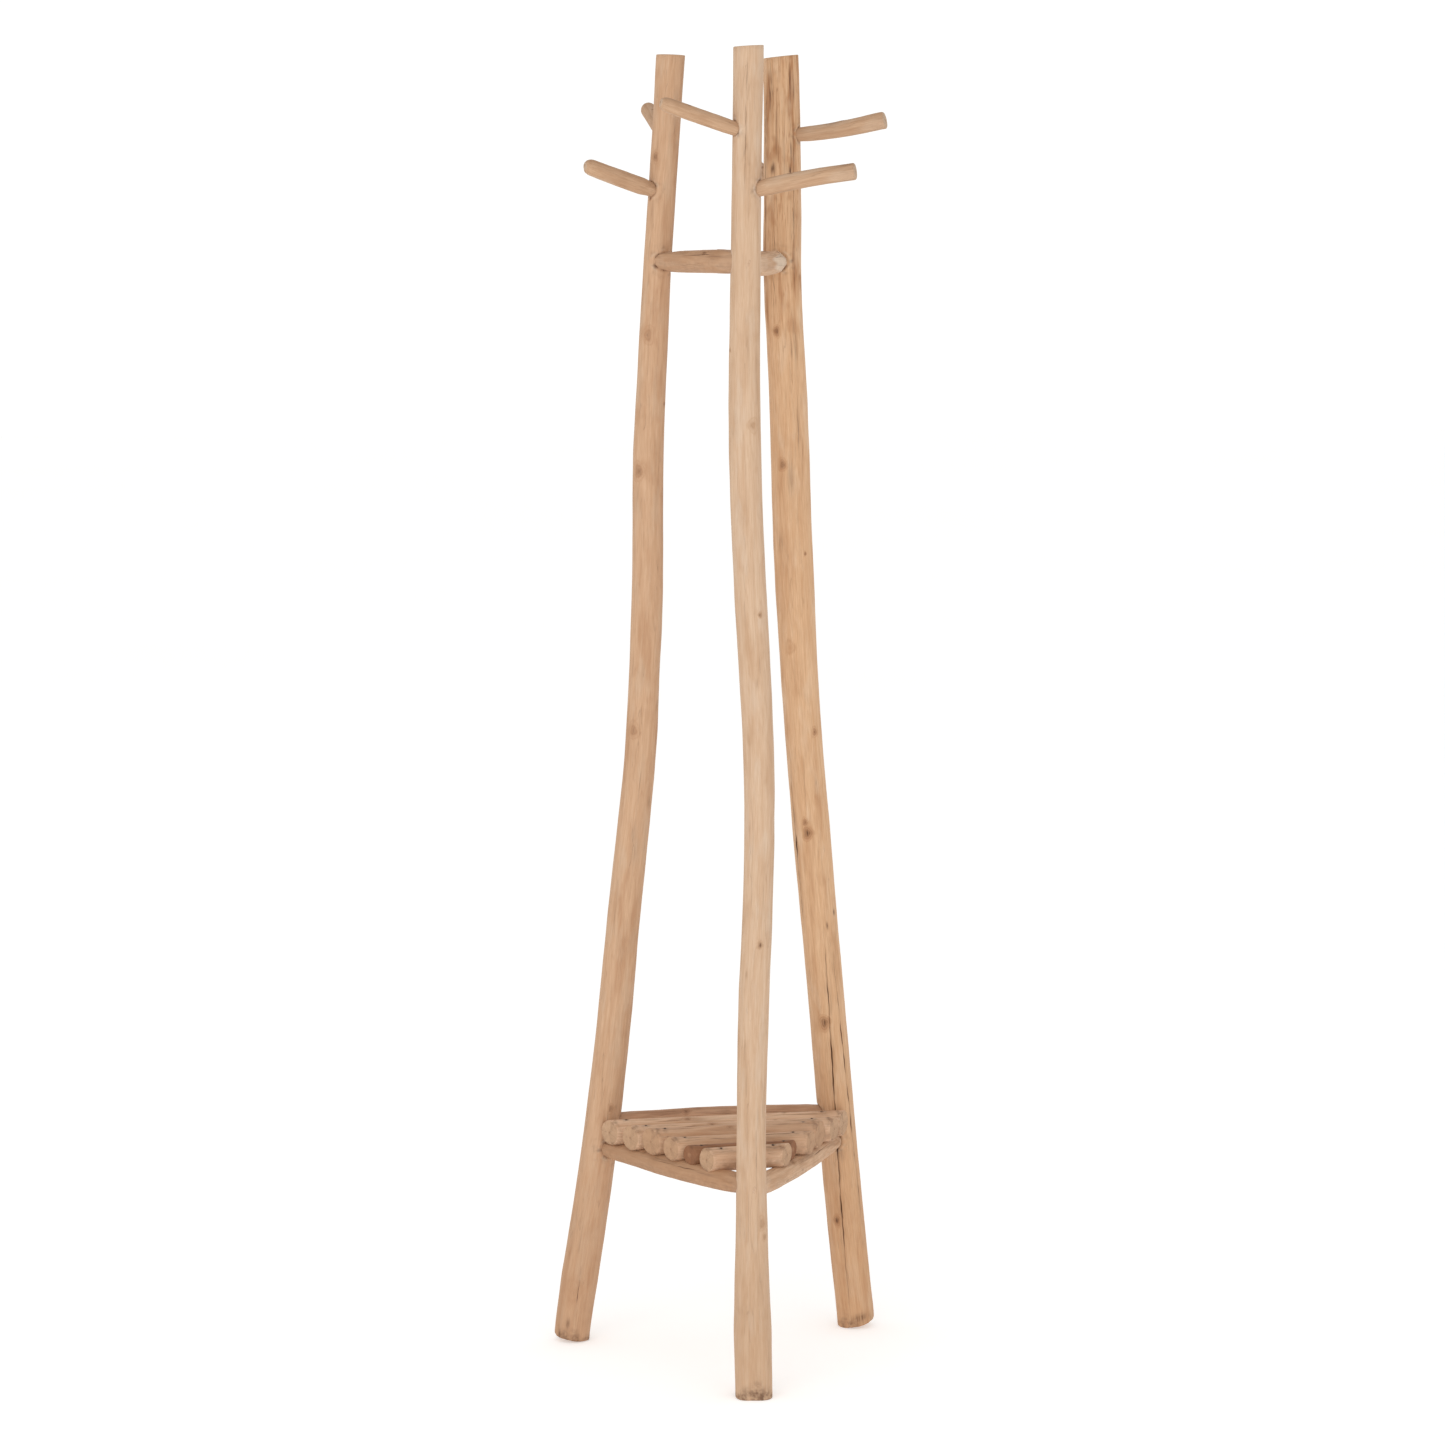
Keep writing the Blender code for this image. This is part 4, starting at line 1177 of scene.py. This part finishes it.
@dataclass
class Pegs:
    """Six short pegs on which coats hang, two to a post."""

    spacing: float = 1.6 * MM
    columns: int = 60
    blunt: tuple[str, ...] = ("right_upper", "front_lower")  # those that are only sawn off, not rounded
    lines: dict[str, Line] = field(default_factory=dict, init=False)

    def measure(self, posts: Posts) -> None:
        """Takes the pegs' lines from the frame, from each post outwards."""
        for side, post in posts.lines.items():
            for row in ("upper", "lower"):
                node = f"{side}_{row}_peg"
                low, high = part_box(node)
                middle = (low + high) / 2
                root = post.at(np.interp([middle.z], post.points[:, 2], post.places))[0][0]
                self.lines[f"{side}_{row}"] = measure(node, middle - Vector(root), 2 * MM, 3 * MM)

    def build(self, finish: bpy.types.Material) -> None:
        """Makes the six pegs."""
        for number, (name, line) in enumerate(self.lines.items()):
            reach = float(line.places[-1])
            if name in self.blunt:
                tip = End(Cut.SAWN, 2.6 * MM, 0.5 * MM, grime=0.05)
                rounded = line.places > reach - 15 * MM
                full = line.radii[~rounded][-1]
                square = Plane(line.points[-1], line.tangent(line.places[-20:-19])[0])
                line = replace(line, radii=np.where(rounded, full, line.radii), end=square)
            else:
                tip = End(Cut.DOMED, grime=0.08)
            marks = (
                Knot(reach * (0.38 + 0.05 * number), 0.5 - 0.17 * number, 3.2 * MM, 0.4 * MM, 0.45),
                Knot(reach * (0.72 - 0.03 * number), -0.5 + 0.2 * number, 2.4 * MM, 0.3 * MM, 0.35),
                Smudge(reach * 0.6, 0.2, 26 * MM, 2.4 * MM, 0.22),
                Smudge(reach * 0.3, -0.3, 18 * MM, 1.2 * MM, 0.35),
                Smudge(reach * (0.93 if name == "front_lower" else 0.5), 0.3, 12 * MM, 5 * MM, 0.45))
            Branch(
                f"{name}_peg_wood", (f"{name}_peg",), "peg_wood", finish, line, UP, self.columns, self.spacing,
                relief=0.3 * MM, ends=(End(Cut.HIDDEN), tip), marks=marks, by_height=False,
                seed=20 + number).build()


def drawn_in(line: Line, post: Line, share: float = 0.6, reach: float = 0.070) -> Line:
    """A rail's line with the end that enters a post drawn sideways towards the post's middle.

    Args:
        line: The rail's line.
        post: The post's line.
        share: How much of the distance between the two lines is closed.
        reach: How much of the rail bends to do so.

    Returns:
        The new line.
    """
    apart = [np.linalg.norm(post.points - line.points[tip], axis=1) for tip in (0, -1)]
    at_start = apart[0].min() < apart[1].min()
    tip = line.points[0 if at_start else -1]
    way = line.points[40] - line.points[0] if at_start else line.points[-1] - line.points[-41]
    way = way * (1, 1, 0) / np.linalg.norm(way[:2])
    gap = (post.points[apart[0 if at_start else 1].argmin()] - tip) * (1, 1, 0)
    gap = gap - (gap @ way) * way
    away = (line.places if at_start else line.places[-1] - line.places) / reach
    weight = share * (1 - np.clip(away, 0, 1) ** 2) ** 2
    moved = replace(line, points=line.points + weight[:, None] * gap)
    old = line.start if at_start else line.end
    plane = Plane(old.point + share * gap, old.normal)
    return replace(moved, start=plane) if at_start else replace(moved, end=plane)


@dataclass
class Rails:
    """The rails of the two rings that tie the posts together, each whittled down where it enters a post."""

    spacing: float = 1.8 * MM
    columns: int = 64
    fullness: dict[str, tuple[float, float]] = field(default_factory=lambda: {
        "top_left_rail": (0.85, 0.95), "top_right_rail": (0.9, 0.45), "top_back_rail": (0.7, 0.7),
        "shelf_left_rail": (0.75, 0.8), "shelf_right_rail": (0.8, 0.75), "shelf_back_rail": (0.9, 0.95)})
    tones: dict[str, float] = field(default_factory=lambda: {
        "top_left_rail": 0.56, "shelf_left_rail": 0.62, "top_back_rail": 0.4, "shelf_right_rail": 0.0})
    lines: dict[str, Line] = field(default_factory=dict, init=False)

    def measure(self, posts: Posts) -> None:
        """Takes the rails' lines from the frame, from left to right."""
        for name, (start, end) in self.fullness.items():
            line = filled_out(measure(name, RIGHTWARDS, 2 * MM, 3 * MM, square=0.97), start, end)
            for side in RAIL_POSTS[name.split("_")[1]]:
                line = drawn_in(line, posts.lines[side])
            self.lines[name] = line

    def build(self, finish: bpy.types.Material, back_finish: bpy.types.Material) -> None:
        """Makes the six rails."""
        for number, (name, line) in enumerate(self.lines.items()):
            reach = float(line.places[-1])
            far = End(Cut.HIDDEN, shoulder=26 * MM)
            if name == "top_right_rail":
                far = End(Cut.HIDDEN, shoulder=72 * MM, bare=1.8)
            ends = (End(Cut.HIDDEN, shoulder=28 * MM), far)
            marks = (
                Knot(reach * 0.34, 0.1 + 0.1 * number, 5 * MM, 0.6 * MM, 0.35),
                Knot(reach * 0.66, 0.7 - 0.2 * number, 3.6 * MM, 0.5 * MM, 0.6),
                Smudge(reach * 0.5, 0.75, 44 * MM, 3 * MM, 0.25),
                Smudge(reach * 0.28, 0.55, 30 * MM, 2 * MM, 0.3),
                Smudge(reach * 0.8, 0.9, 26 * MM, 2 * MM, 0.3),
                Crack(reach * 0.42, reach * 0.78, 0.86, 0.82, 0.9 * MM, 1.6 * MM))
            wood = back_finish if name == "shelf_back_rail" else finish
            Branch(
                f"{name}_wood", (name,), "rail_wood", wood, line, UP, self.columns, self.spacing,
                ends=ends, marks=marks, by_height=False, tone=self.tones.get(name, 0.0), flank_shade=0.3,
                seed=40 + number).build()


@dataclass
class Shelf:
    """The six slats, laid across the two front rails of the lower ring."""

    spacing: float = 2.0 * MM
    columns: int = 76
    tones: tuple[float, ...] = (0.0, 0.12, 0.40, 0.32, 0.62, 0.10)  # from the rear slat to the front one
    heart: int = 5  # the slat that is all heartwood
    hewn: int = 6  # the slat that has been squared off a little

    def build(self, finish: bpy.types.Material, heart_finish: bpy.types.Material) -> None:
        """Makes the slats, each dented round its two nails."""
        for number, tone in enumerate(self.tones, 1):
            name = f"slat_{number}"
            line = measure(name, RIGHTWARDS, 3 * MM, 10 * MM)
            reach = float(line.places[-1])
            nails = []
            for side in ("left", "right"):
                low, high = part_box(f"{name}_{side}_nail")
                head = Vector(((low.x + high.x) / 2, (low.y + high.y) / 2, high.z))
                # Each nail's seat also paints a dark shadow ring round its head.
                nails.append(Seat(head, UP, 1.5 * MM))
            marks = (
                Knot(reach * (0.25 + 0.07 * number), 0.35, 4.5 * MM, 0.6 * MM, 0.4),
                Knot(reach * (0.80 - 0.04 * number), -0.1, 3.4 * MM, 0.4 * MM, 0.55),
                Smudge(reach * 0.16, 0.25, 16 * MM, 1.6 * MM, 0.5),
                Smudge(reach * 0.84, 0.35, 18 * MM, 1.4 * MM, 0.5),
                Smudge(reach * 0.5, 0.6, 60 * MM, 3.0 * MM, 0.2),
                Crack(reach * 0.08, reach * 0.4, 0.55, 0.5, 0.8 * MM, 1.2 * MM),
                Crack(reach * 0.62, reach * 0.93, 0.3, 0.34, 0.8 * MM, 1.2 * MM))
            end = End(Cut.SAWN, 1.8 * MM, 0.8 * MM, grime=0.55, stained=2.4 * MM)
            Branch(
                f"{name}_wood", (name,), "slat_wood", heart_finish if number == self.heart else finish, line,
                UP, self.columns, self.spacing, relief=0.5 * MM, hewn=0.10 if number == self.hewn else 0.025,
                ends=(end, end), marks=marks, seats=tuple(nails), by_height=False, tone=tone, flank_shade=0.45,
                seed=60 + number).build()


# ------------------------------------------------------------------------- nails, pins and fillers


@dataclass
class Growth(Nodes):
    """A Geometry Nodes tree that stands a part on every point it is given."""

    tree: bpy.types.NodeTree = field(init=False)
    name: str
    entry: bpy.types.Node = field(init=False)

    def __post_init__(self) -> None:
        """Starts the tree with its geometry sockets."""
        self.tree = bpy.data.node_groups.new(self.name, "GeometryNodeTree")
        self.tree.interface.new_socket("Geometry", in_out="INPUT", socket_type="NodeSocketGeometry")
        self.tree.interface.new_socket("Geometry", in_out="OUTPUT", socket_type="NodeSocketGeometry")
        self.entry = self.node("NodeGroupInput")

    def size(self, name: str, default: float) -> bpy.types.NodeSocket:
        """Adds a named size to the tree's inputs and returns its socket."""
        made = self.tree.interface.new_socket(name, in_out="INPUT", socket_type="NodeSocketFloat")
        made.default_value = default
        return self.entry.outputs[name]

    def join(self, *parts: bpy.types.NodeSocket) -> bpy.types.NodeSocket:
        """Joins geometry."""
        made = self.node("GeometryNodeJoinGeometry")
        for part in parts:
            self.feed(made, Geometry=part)
        return made.outputs[0]

    def part_of(self, socket: bpy.types.NodeSocket, factor: float = 0.5) -> bpy.types.NodeSocket:
        """A size times a factor, or half of it."""
        return self.node("ShaderNodeMath", {"operation": "MULTIPLY"}, i0=socket, i1=factor).outputs[0]

    def lifted(self, part: bpy.types.NodeSocket, height: bpy.types.NodeSocket | float,
               scale: tuple[float, float, float] = (1.0, 1.0, 1.0)) -> bpy.types.NodeSocket:
        """Geometry raised by a height and scaled."""
        place = self.node("ShaderNodeCombineXYZ", None, Z=height).outputs[0]
        made = self.node("GeometryNodeTransform", None, Geometry=part, Translation=place, Scale=scale)
        return made.outputs[0]

    def planted(self, part: bpy.types.NodeSocket, seed: int, material: bpy.types.Material) -> None:
        """Ends the tree: the part stands on every point along its "way", turned and sized at random."""
        vector, number = {"data_type": "FLOAT_VECTOR"}, {"data_type": "FLOAT"}
        way = self.node("GeometryNodeInputNamedAttribute", vector, Name="way").outputs[0]
        facing = self.node("FunctionNodeAlignRotationToVector", {"axis": "Z"}, Vector=way).outputs[0]
        spin = self.node("FunctionNodeRandomValue", number, Max=math.tau, Seed=seed).outputs[1]
        turn = self.node("ShaderNodeCombineXYZ", None, Z=spin).outputs[0]
        turned = self.node("FunctionNodeRotateRotation", {"rotation_space": "LOCAL"}, Rotation=facing,
                           Rotate_By=turn).outputs[0]
        grown = self.node("FunctionNodeRandomValue", number, Min=0.92, Max=1.08, Seed=seed + 1).outputs[1]
        stood = self.node("GeometryNodeInstanceOnPoints", None, Points=self.entry.outputs[0], Instance=part,
                          Rotation=turned, Scale=grown).outputs[0]
        real = self.node("GeometryNodeRealizeInstances", None, Geometry=stood).outputs[0]
        dressed = self.node("GeometryNodeSetMaterial", None, Geometry=real, Material=material).outputs[0]
        self.node("NodeGroupOutput", None, i0=dressed)


def plant(name: str, growth: Growth, points: list[Vector], ways: list[Vector],
          sizes: dict[str, float]) -> bpy.types.Object:
    """Runs a tree on a set of points and keeps its result as a plain mesh.

    Args:
        name: The new piece's name.
        growth: The tree.
        points: Where its copies stand.
        ways: Each copy's upward direction.
        sizes: Values for the tree's named inputs.

    Returns:
        The finished object, at the origin.
    """
    seeds = bpy.data.meshes.new(name + "_points")
    seeds.from_pydata([tuple(p) for p in points], [], [])
    layer = seeds.attributes.new("way", "FLOAT_VECTOR", "POINT")
    layer.data.foreach_set("vector", [part for way in ways for part in way])
    holder = placed(name + "_points", seeds)
    modifier = holder.modifiers.new("growth", "NODES")
    modifier.node_group = growth.tree
    for item in growth.tree.interface.items_tree:
        if item.in_out == "INPUT" and item.name in sizes:
            modifier[item.identifier] = sizes[item.name]
    graph = bpy.context.evaluated_depsgraph_get()
    mesh = bpy.data.meshes.new_from_object(holder.evaluated_get(graph), depsgraph=graph)
    bpy.data.objects.remove(holder)
    mesh.name = name
    LOG.info("%s: %d faces", name, len(mesh.polygons))
    return placed(name, mesh)


@dataclass
class Fixings:
    """Two nails in each slat, and a steel pin under filler in each rail's tenon."""

    head_diameter: float = 3.6 * MM
    shank_diameter: float = 2.2 * MM
    pin_diameter: float = 2.5 * MM
    filler_diameter: float = 4.6 * MM
    sunk: float = 0.55 * MM
    nails: list[str] = field(default_factory=lambda: sorted(n for n in NODES if n.endswith("_nail")))
    pins: list[str] = field(default_factory=lambda: sorted(n for n in NODES if n.endswith("_pin")))

    def build_nails(self, finish: bpy.types.Material) -> None:
        """Makes the twelve nails, with flattened heads just under the surface."""
        growth = Growth("slat_nails")
        head, shank = growth.size("Head Diameter", 0.005), growth.size("Shank Diameter", 0.002)
        length = growth.size("Length", 0.04)
        wide, thick = growth.part_of(head), growth.part_of(shank)
        dome = growth.node("GeometryNodeMeshUVSphere", None, Segments=20, Rings=10, Radius=wide)
        flat = growth.lifted(dome.outputs[0], 0.0, (1.0, 1.0, 0.22))
        rod = growth.node("GeometryNodeMeshCylinder", None, Vertices=14, Radius=thick, Depth=length)
        point = growth.node("GeometryNodeMeshCone", None, Vertices=14, Radius_Top=thick,
                            Radius_Bottom=0.2 * MM, Depth=growth.part_of(shank, 1.8))
        whole = growth.join(flat, growth.lifted(rod.outputs[0], growth.part_of(length, -0.5)),
                            growth.lifted(point.outputs[0], growth.part_of(length, -1.08)))
        growth.planted(whole, 3, finish)
        boxes = [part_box(name) for name in self.nails]
        heads = [Vector(((a.x + b.x) / 2, (a.y + b.y) / 2, b.z - self.sunk)) for a, b in boxes]
        reach = min(b.z - a.z for a, b in boxes)
        made = plant("slat_nails", growth, heads, [UP] * len(heads),
                     {"Head Diameter": self.head_diameter, "Shank Diameter": self.shank_diameter,
                      "Length": reach * 0.9})
        made.data.shade_smooth()
        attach(made, "root")
        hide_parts(*self.nails)

    def _pin_ends(self, name: str) -> tuple[Vector, Vector]:
        """A pin's outer and inner end."""
        flat = corners_of(NODES[name]).reshape(-1, 3)
        middle, axis = long_axis(flat)
        axis = axis if axis @ (middle - np.array(RACK_AXIS)) > 0 else -axis
        reach = (flat - middle) @ axis
        return Vector(middle + axis * reach.max()), Vector(middle + axis * reach.min())

    def build_pins(self, steel: bpy.types.Material, filler: bpy.types.Material) -> None:
        """Makes the twelve pins and the filler over them."""
        ends = [self._pin_ends(name) for name in self.pins]
        ways = [(outer - inner).normalized() for outer, inner in ends]
        rods = Growth("rail_pins")
        thick, length = rods.size("Diameter", 0.0025), rods.size("Length", 0.03)
        radius = rods.part_of(thick)
        rod = rods.node("GeometryNodeMeshCylinder", None, Vertices=16, Radius=radius, Depth=length)
        rods.planted(rod.outputs[0], 11, steel)
        reach = min((outer - inner).length for outer, inner in ends)
        middles = [inner + way * (0.5 * reach) for (_, inner), way in zip(ends, ways)]
        pins = plant("rail_pins", rods, middles, ways, {"Diameter": self.pin_diameter, "Length": reach * 0.86})
        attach(pins, "root")
        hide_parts(*self.pins)
        spots = Growth("pin_fillers")
        wide, proud = spots.size("Diameter", 0.006), spots.size("Proud", 0.0004)
        ball = spots.node("GeometryNodeMeshUVSphere", None, Segments=24, Rings=12, Radius=spots.part_of(wide))
        spots.planted(spots.lifted(ball.outputs[0], proud, (1.0, 1.25, 0.2)), 17, filler)
        tops = [outer - way * (0.75 * MM) for (outer, _), way in zip(ends, ways)]
        fillers = plant("pin_fillers", spots, tops, ways,
                        {"Diameter": self.filler_diameter, "Proud": 0.35 * MM})
        fillers.data.shade_smooth()
        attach(fillers, "root")


# ------------------------------------------------------------------------------------------ studio


@dataclass
class Studio:
    """A plain pale floor, soft light from all round and a camera a little above eye height."""

    distance: float = 5.93
    height: float = 1.535
    pitch: float = math.radians(6.27)
    yaw: float = math.radians(-0.114)
    lens: float = 108.07
    floor_size: float = 60.0
    ambient: float = 0.74  # how bright the surroundings are on the rack
    backdrop: float = 1.06  # how bright they look
    floor_glow: float = 0.34  # stands in for the lamps that a studio turns on its floor
    lamp_colour: Colour = (1.0, 0.975, 0.945)
    aim: Vector = field(default_factory=lambda: RACK_AXIS + Vector((0.0, 0.0, 0.9)))  # where the lamps look

    def floor(self) -> None:
        """The floor, which isn't part of the rack."""
        mesh = bpy.data.meshes.new("studio_floor")
        half = self.floor_size / 2
        corners = [(-half, -half, 0), (half, -half, 0), (half, half, 0), (-half, half, 0)]
        mesh.from_pydata(corners, [], [(0, 1, 2, 3)])
        material, s, principled = new_material("pale_floor")
        paint = s.mix(s.noise(s.place(), 0.8, 2.0), (0.90, 0.895, 0.885), (0.93, 0.925, 0.92))
        s.feed(principled, Base_Color=paint, Roughness=0.9, Emission_Color=(1.0, 1.0, 1.0),
               Emission_Strength=self.floor_glow)
        mesh.materials.append(material)
        made = placed("studio_floor", mesh)

    def world(self) -> None:
        """White surroundings, a little less bright on the rack than they look."""
        world = bpy.data.worlds.new("studio")
        world.use_nodes = True
        bpy.context.scene.world = world
        s = Shader(world.node_tree)
        seen = s.node("LightPath").outputs["Is Camera Ray"]
        strength = s.node("MapRange", None, Value=seen, To_Min=self.ambient, To_Max=self.backdrop).outputs[0]
        s.feed(world.node_tree.nodes["Background"], Color=(1.0, 0.995, 0.985), Strength=strength)
        bpy.context.scene.view_settings.view_transform = "Standard"

    def light(self, name: str, azimuth: float, height: float, distance: float, size: float,
              power: float) -> None:
        """A soft square lamp that looks at the middle of the rack, placed by its angle from the camera."""
        turn = VIEW_AZIMUTH + math.radians(azimuth)
        lamp = bpy.data.lights.new(name, "AREA")
        lamp.shape = "SQUARE"
        lamp.size = size
        lamp.energy = power
        lamp.color = self.lamp_colour
        made = placed(name, lamp)
        made.location = RACK_AXIS + Vector((math.sin(turn) * distance, -math.cos(turn) * distance, height))
        made.rotation_euler = (self.aim - made.location).to_track_quat("-Z", "Y").to_euler()

    def camera(self) -> None:
        """The camera, to the left of straight ahead and looking slightly down."""
        data = bpy.data.cameras.new("studio_camera")
        data.sensor_width = 36.0
        data.lens = self.lens
        made = placed("studio_camera", data)
        turn, tip = VIEW_AZIMUTH - self.yaw, math.pi / 2 - self.pitch
        made.matrix_world = (
            Matrix.Translation(RACK_AXIS + TO_VIEWER * self.distance + UP * self.height)
            @ Matrix.Rotation(turn, 4, "Z") @ Matrix.Rotation(tip, 4, "X"))
        bpy.context.scene.camera = made

    def build(self) -> None:
        """Sets up the whole studio."""
        self.floor()
        self.world()
        self.light("key_light", azimuth=-24, height=2.2, distance=4.2, size=3.0, power=40)
        self.light("fill_light", azimuth=30, height=1.5, distance=4.6, size=3.0, power=20)
        self.camera()


def main() -> None:
    """Builds the rack's looks in the order of a maker's bench: posts, rails, pegs, shelf and fixings."""
    logging.basicConfig(level=logging.INFO, format="%(message)s")
    posts, rails, pegs = Posts(), Rails(), Pegs()
    rails.measure(posts)
    pegs.measure(posts)
    woods = {"front": FRONT_WOOD, "left": LEFT_WOOD, "right": RIGHT_WOOD}
    carried = {side: [line for name, line in pegs.lines.items() if name.startswith(side)] for side in woods}
    for name, line in rails.lines.items():
        first, last = RAIL_POSTS[name.split("_")[1]]
        carried[first].append(line)
        carried[last].append(line)
    for seed, (side, finish) in enumerate(woods.items()):
        posts.build(side, carried[side], finish.material(), seed + 1)
    rails.build(RAIL_WOOD.material(), BACK_WOOD.material())
    pegs.build(PEG_WOOD.material())
    Shelf().build(SLAT_WOOD.material(), HEART_WOOD.material())
    fixings = Fixings()
    fixings.build_nails(NAIL_STEEL.material())
    fixings.build_pins(PIN_STEEL.material(), PIN_FILLER.material())
    Studio().build()


if __name__ == "__main__":
    main()
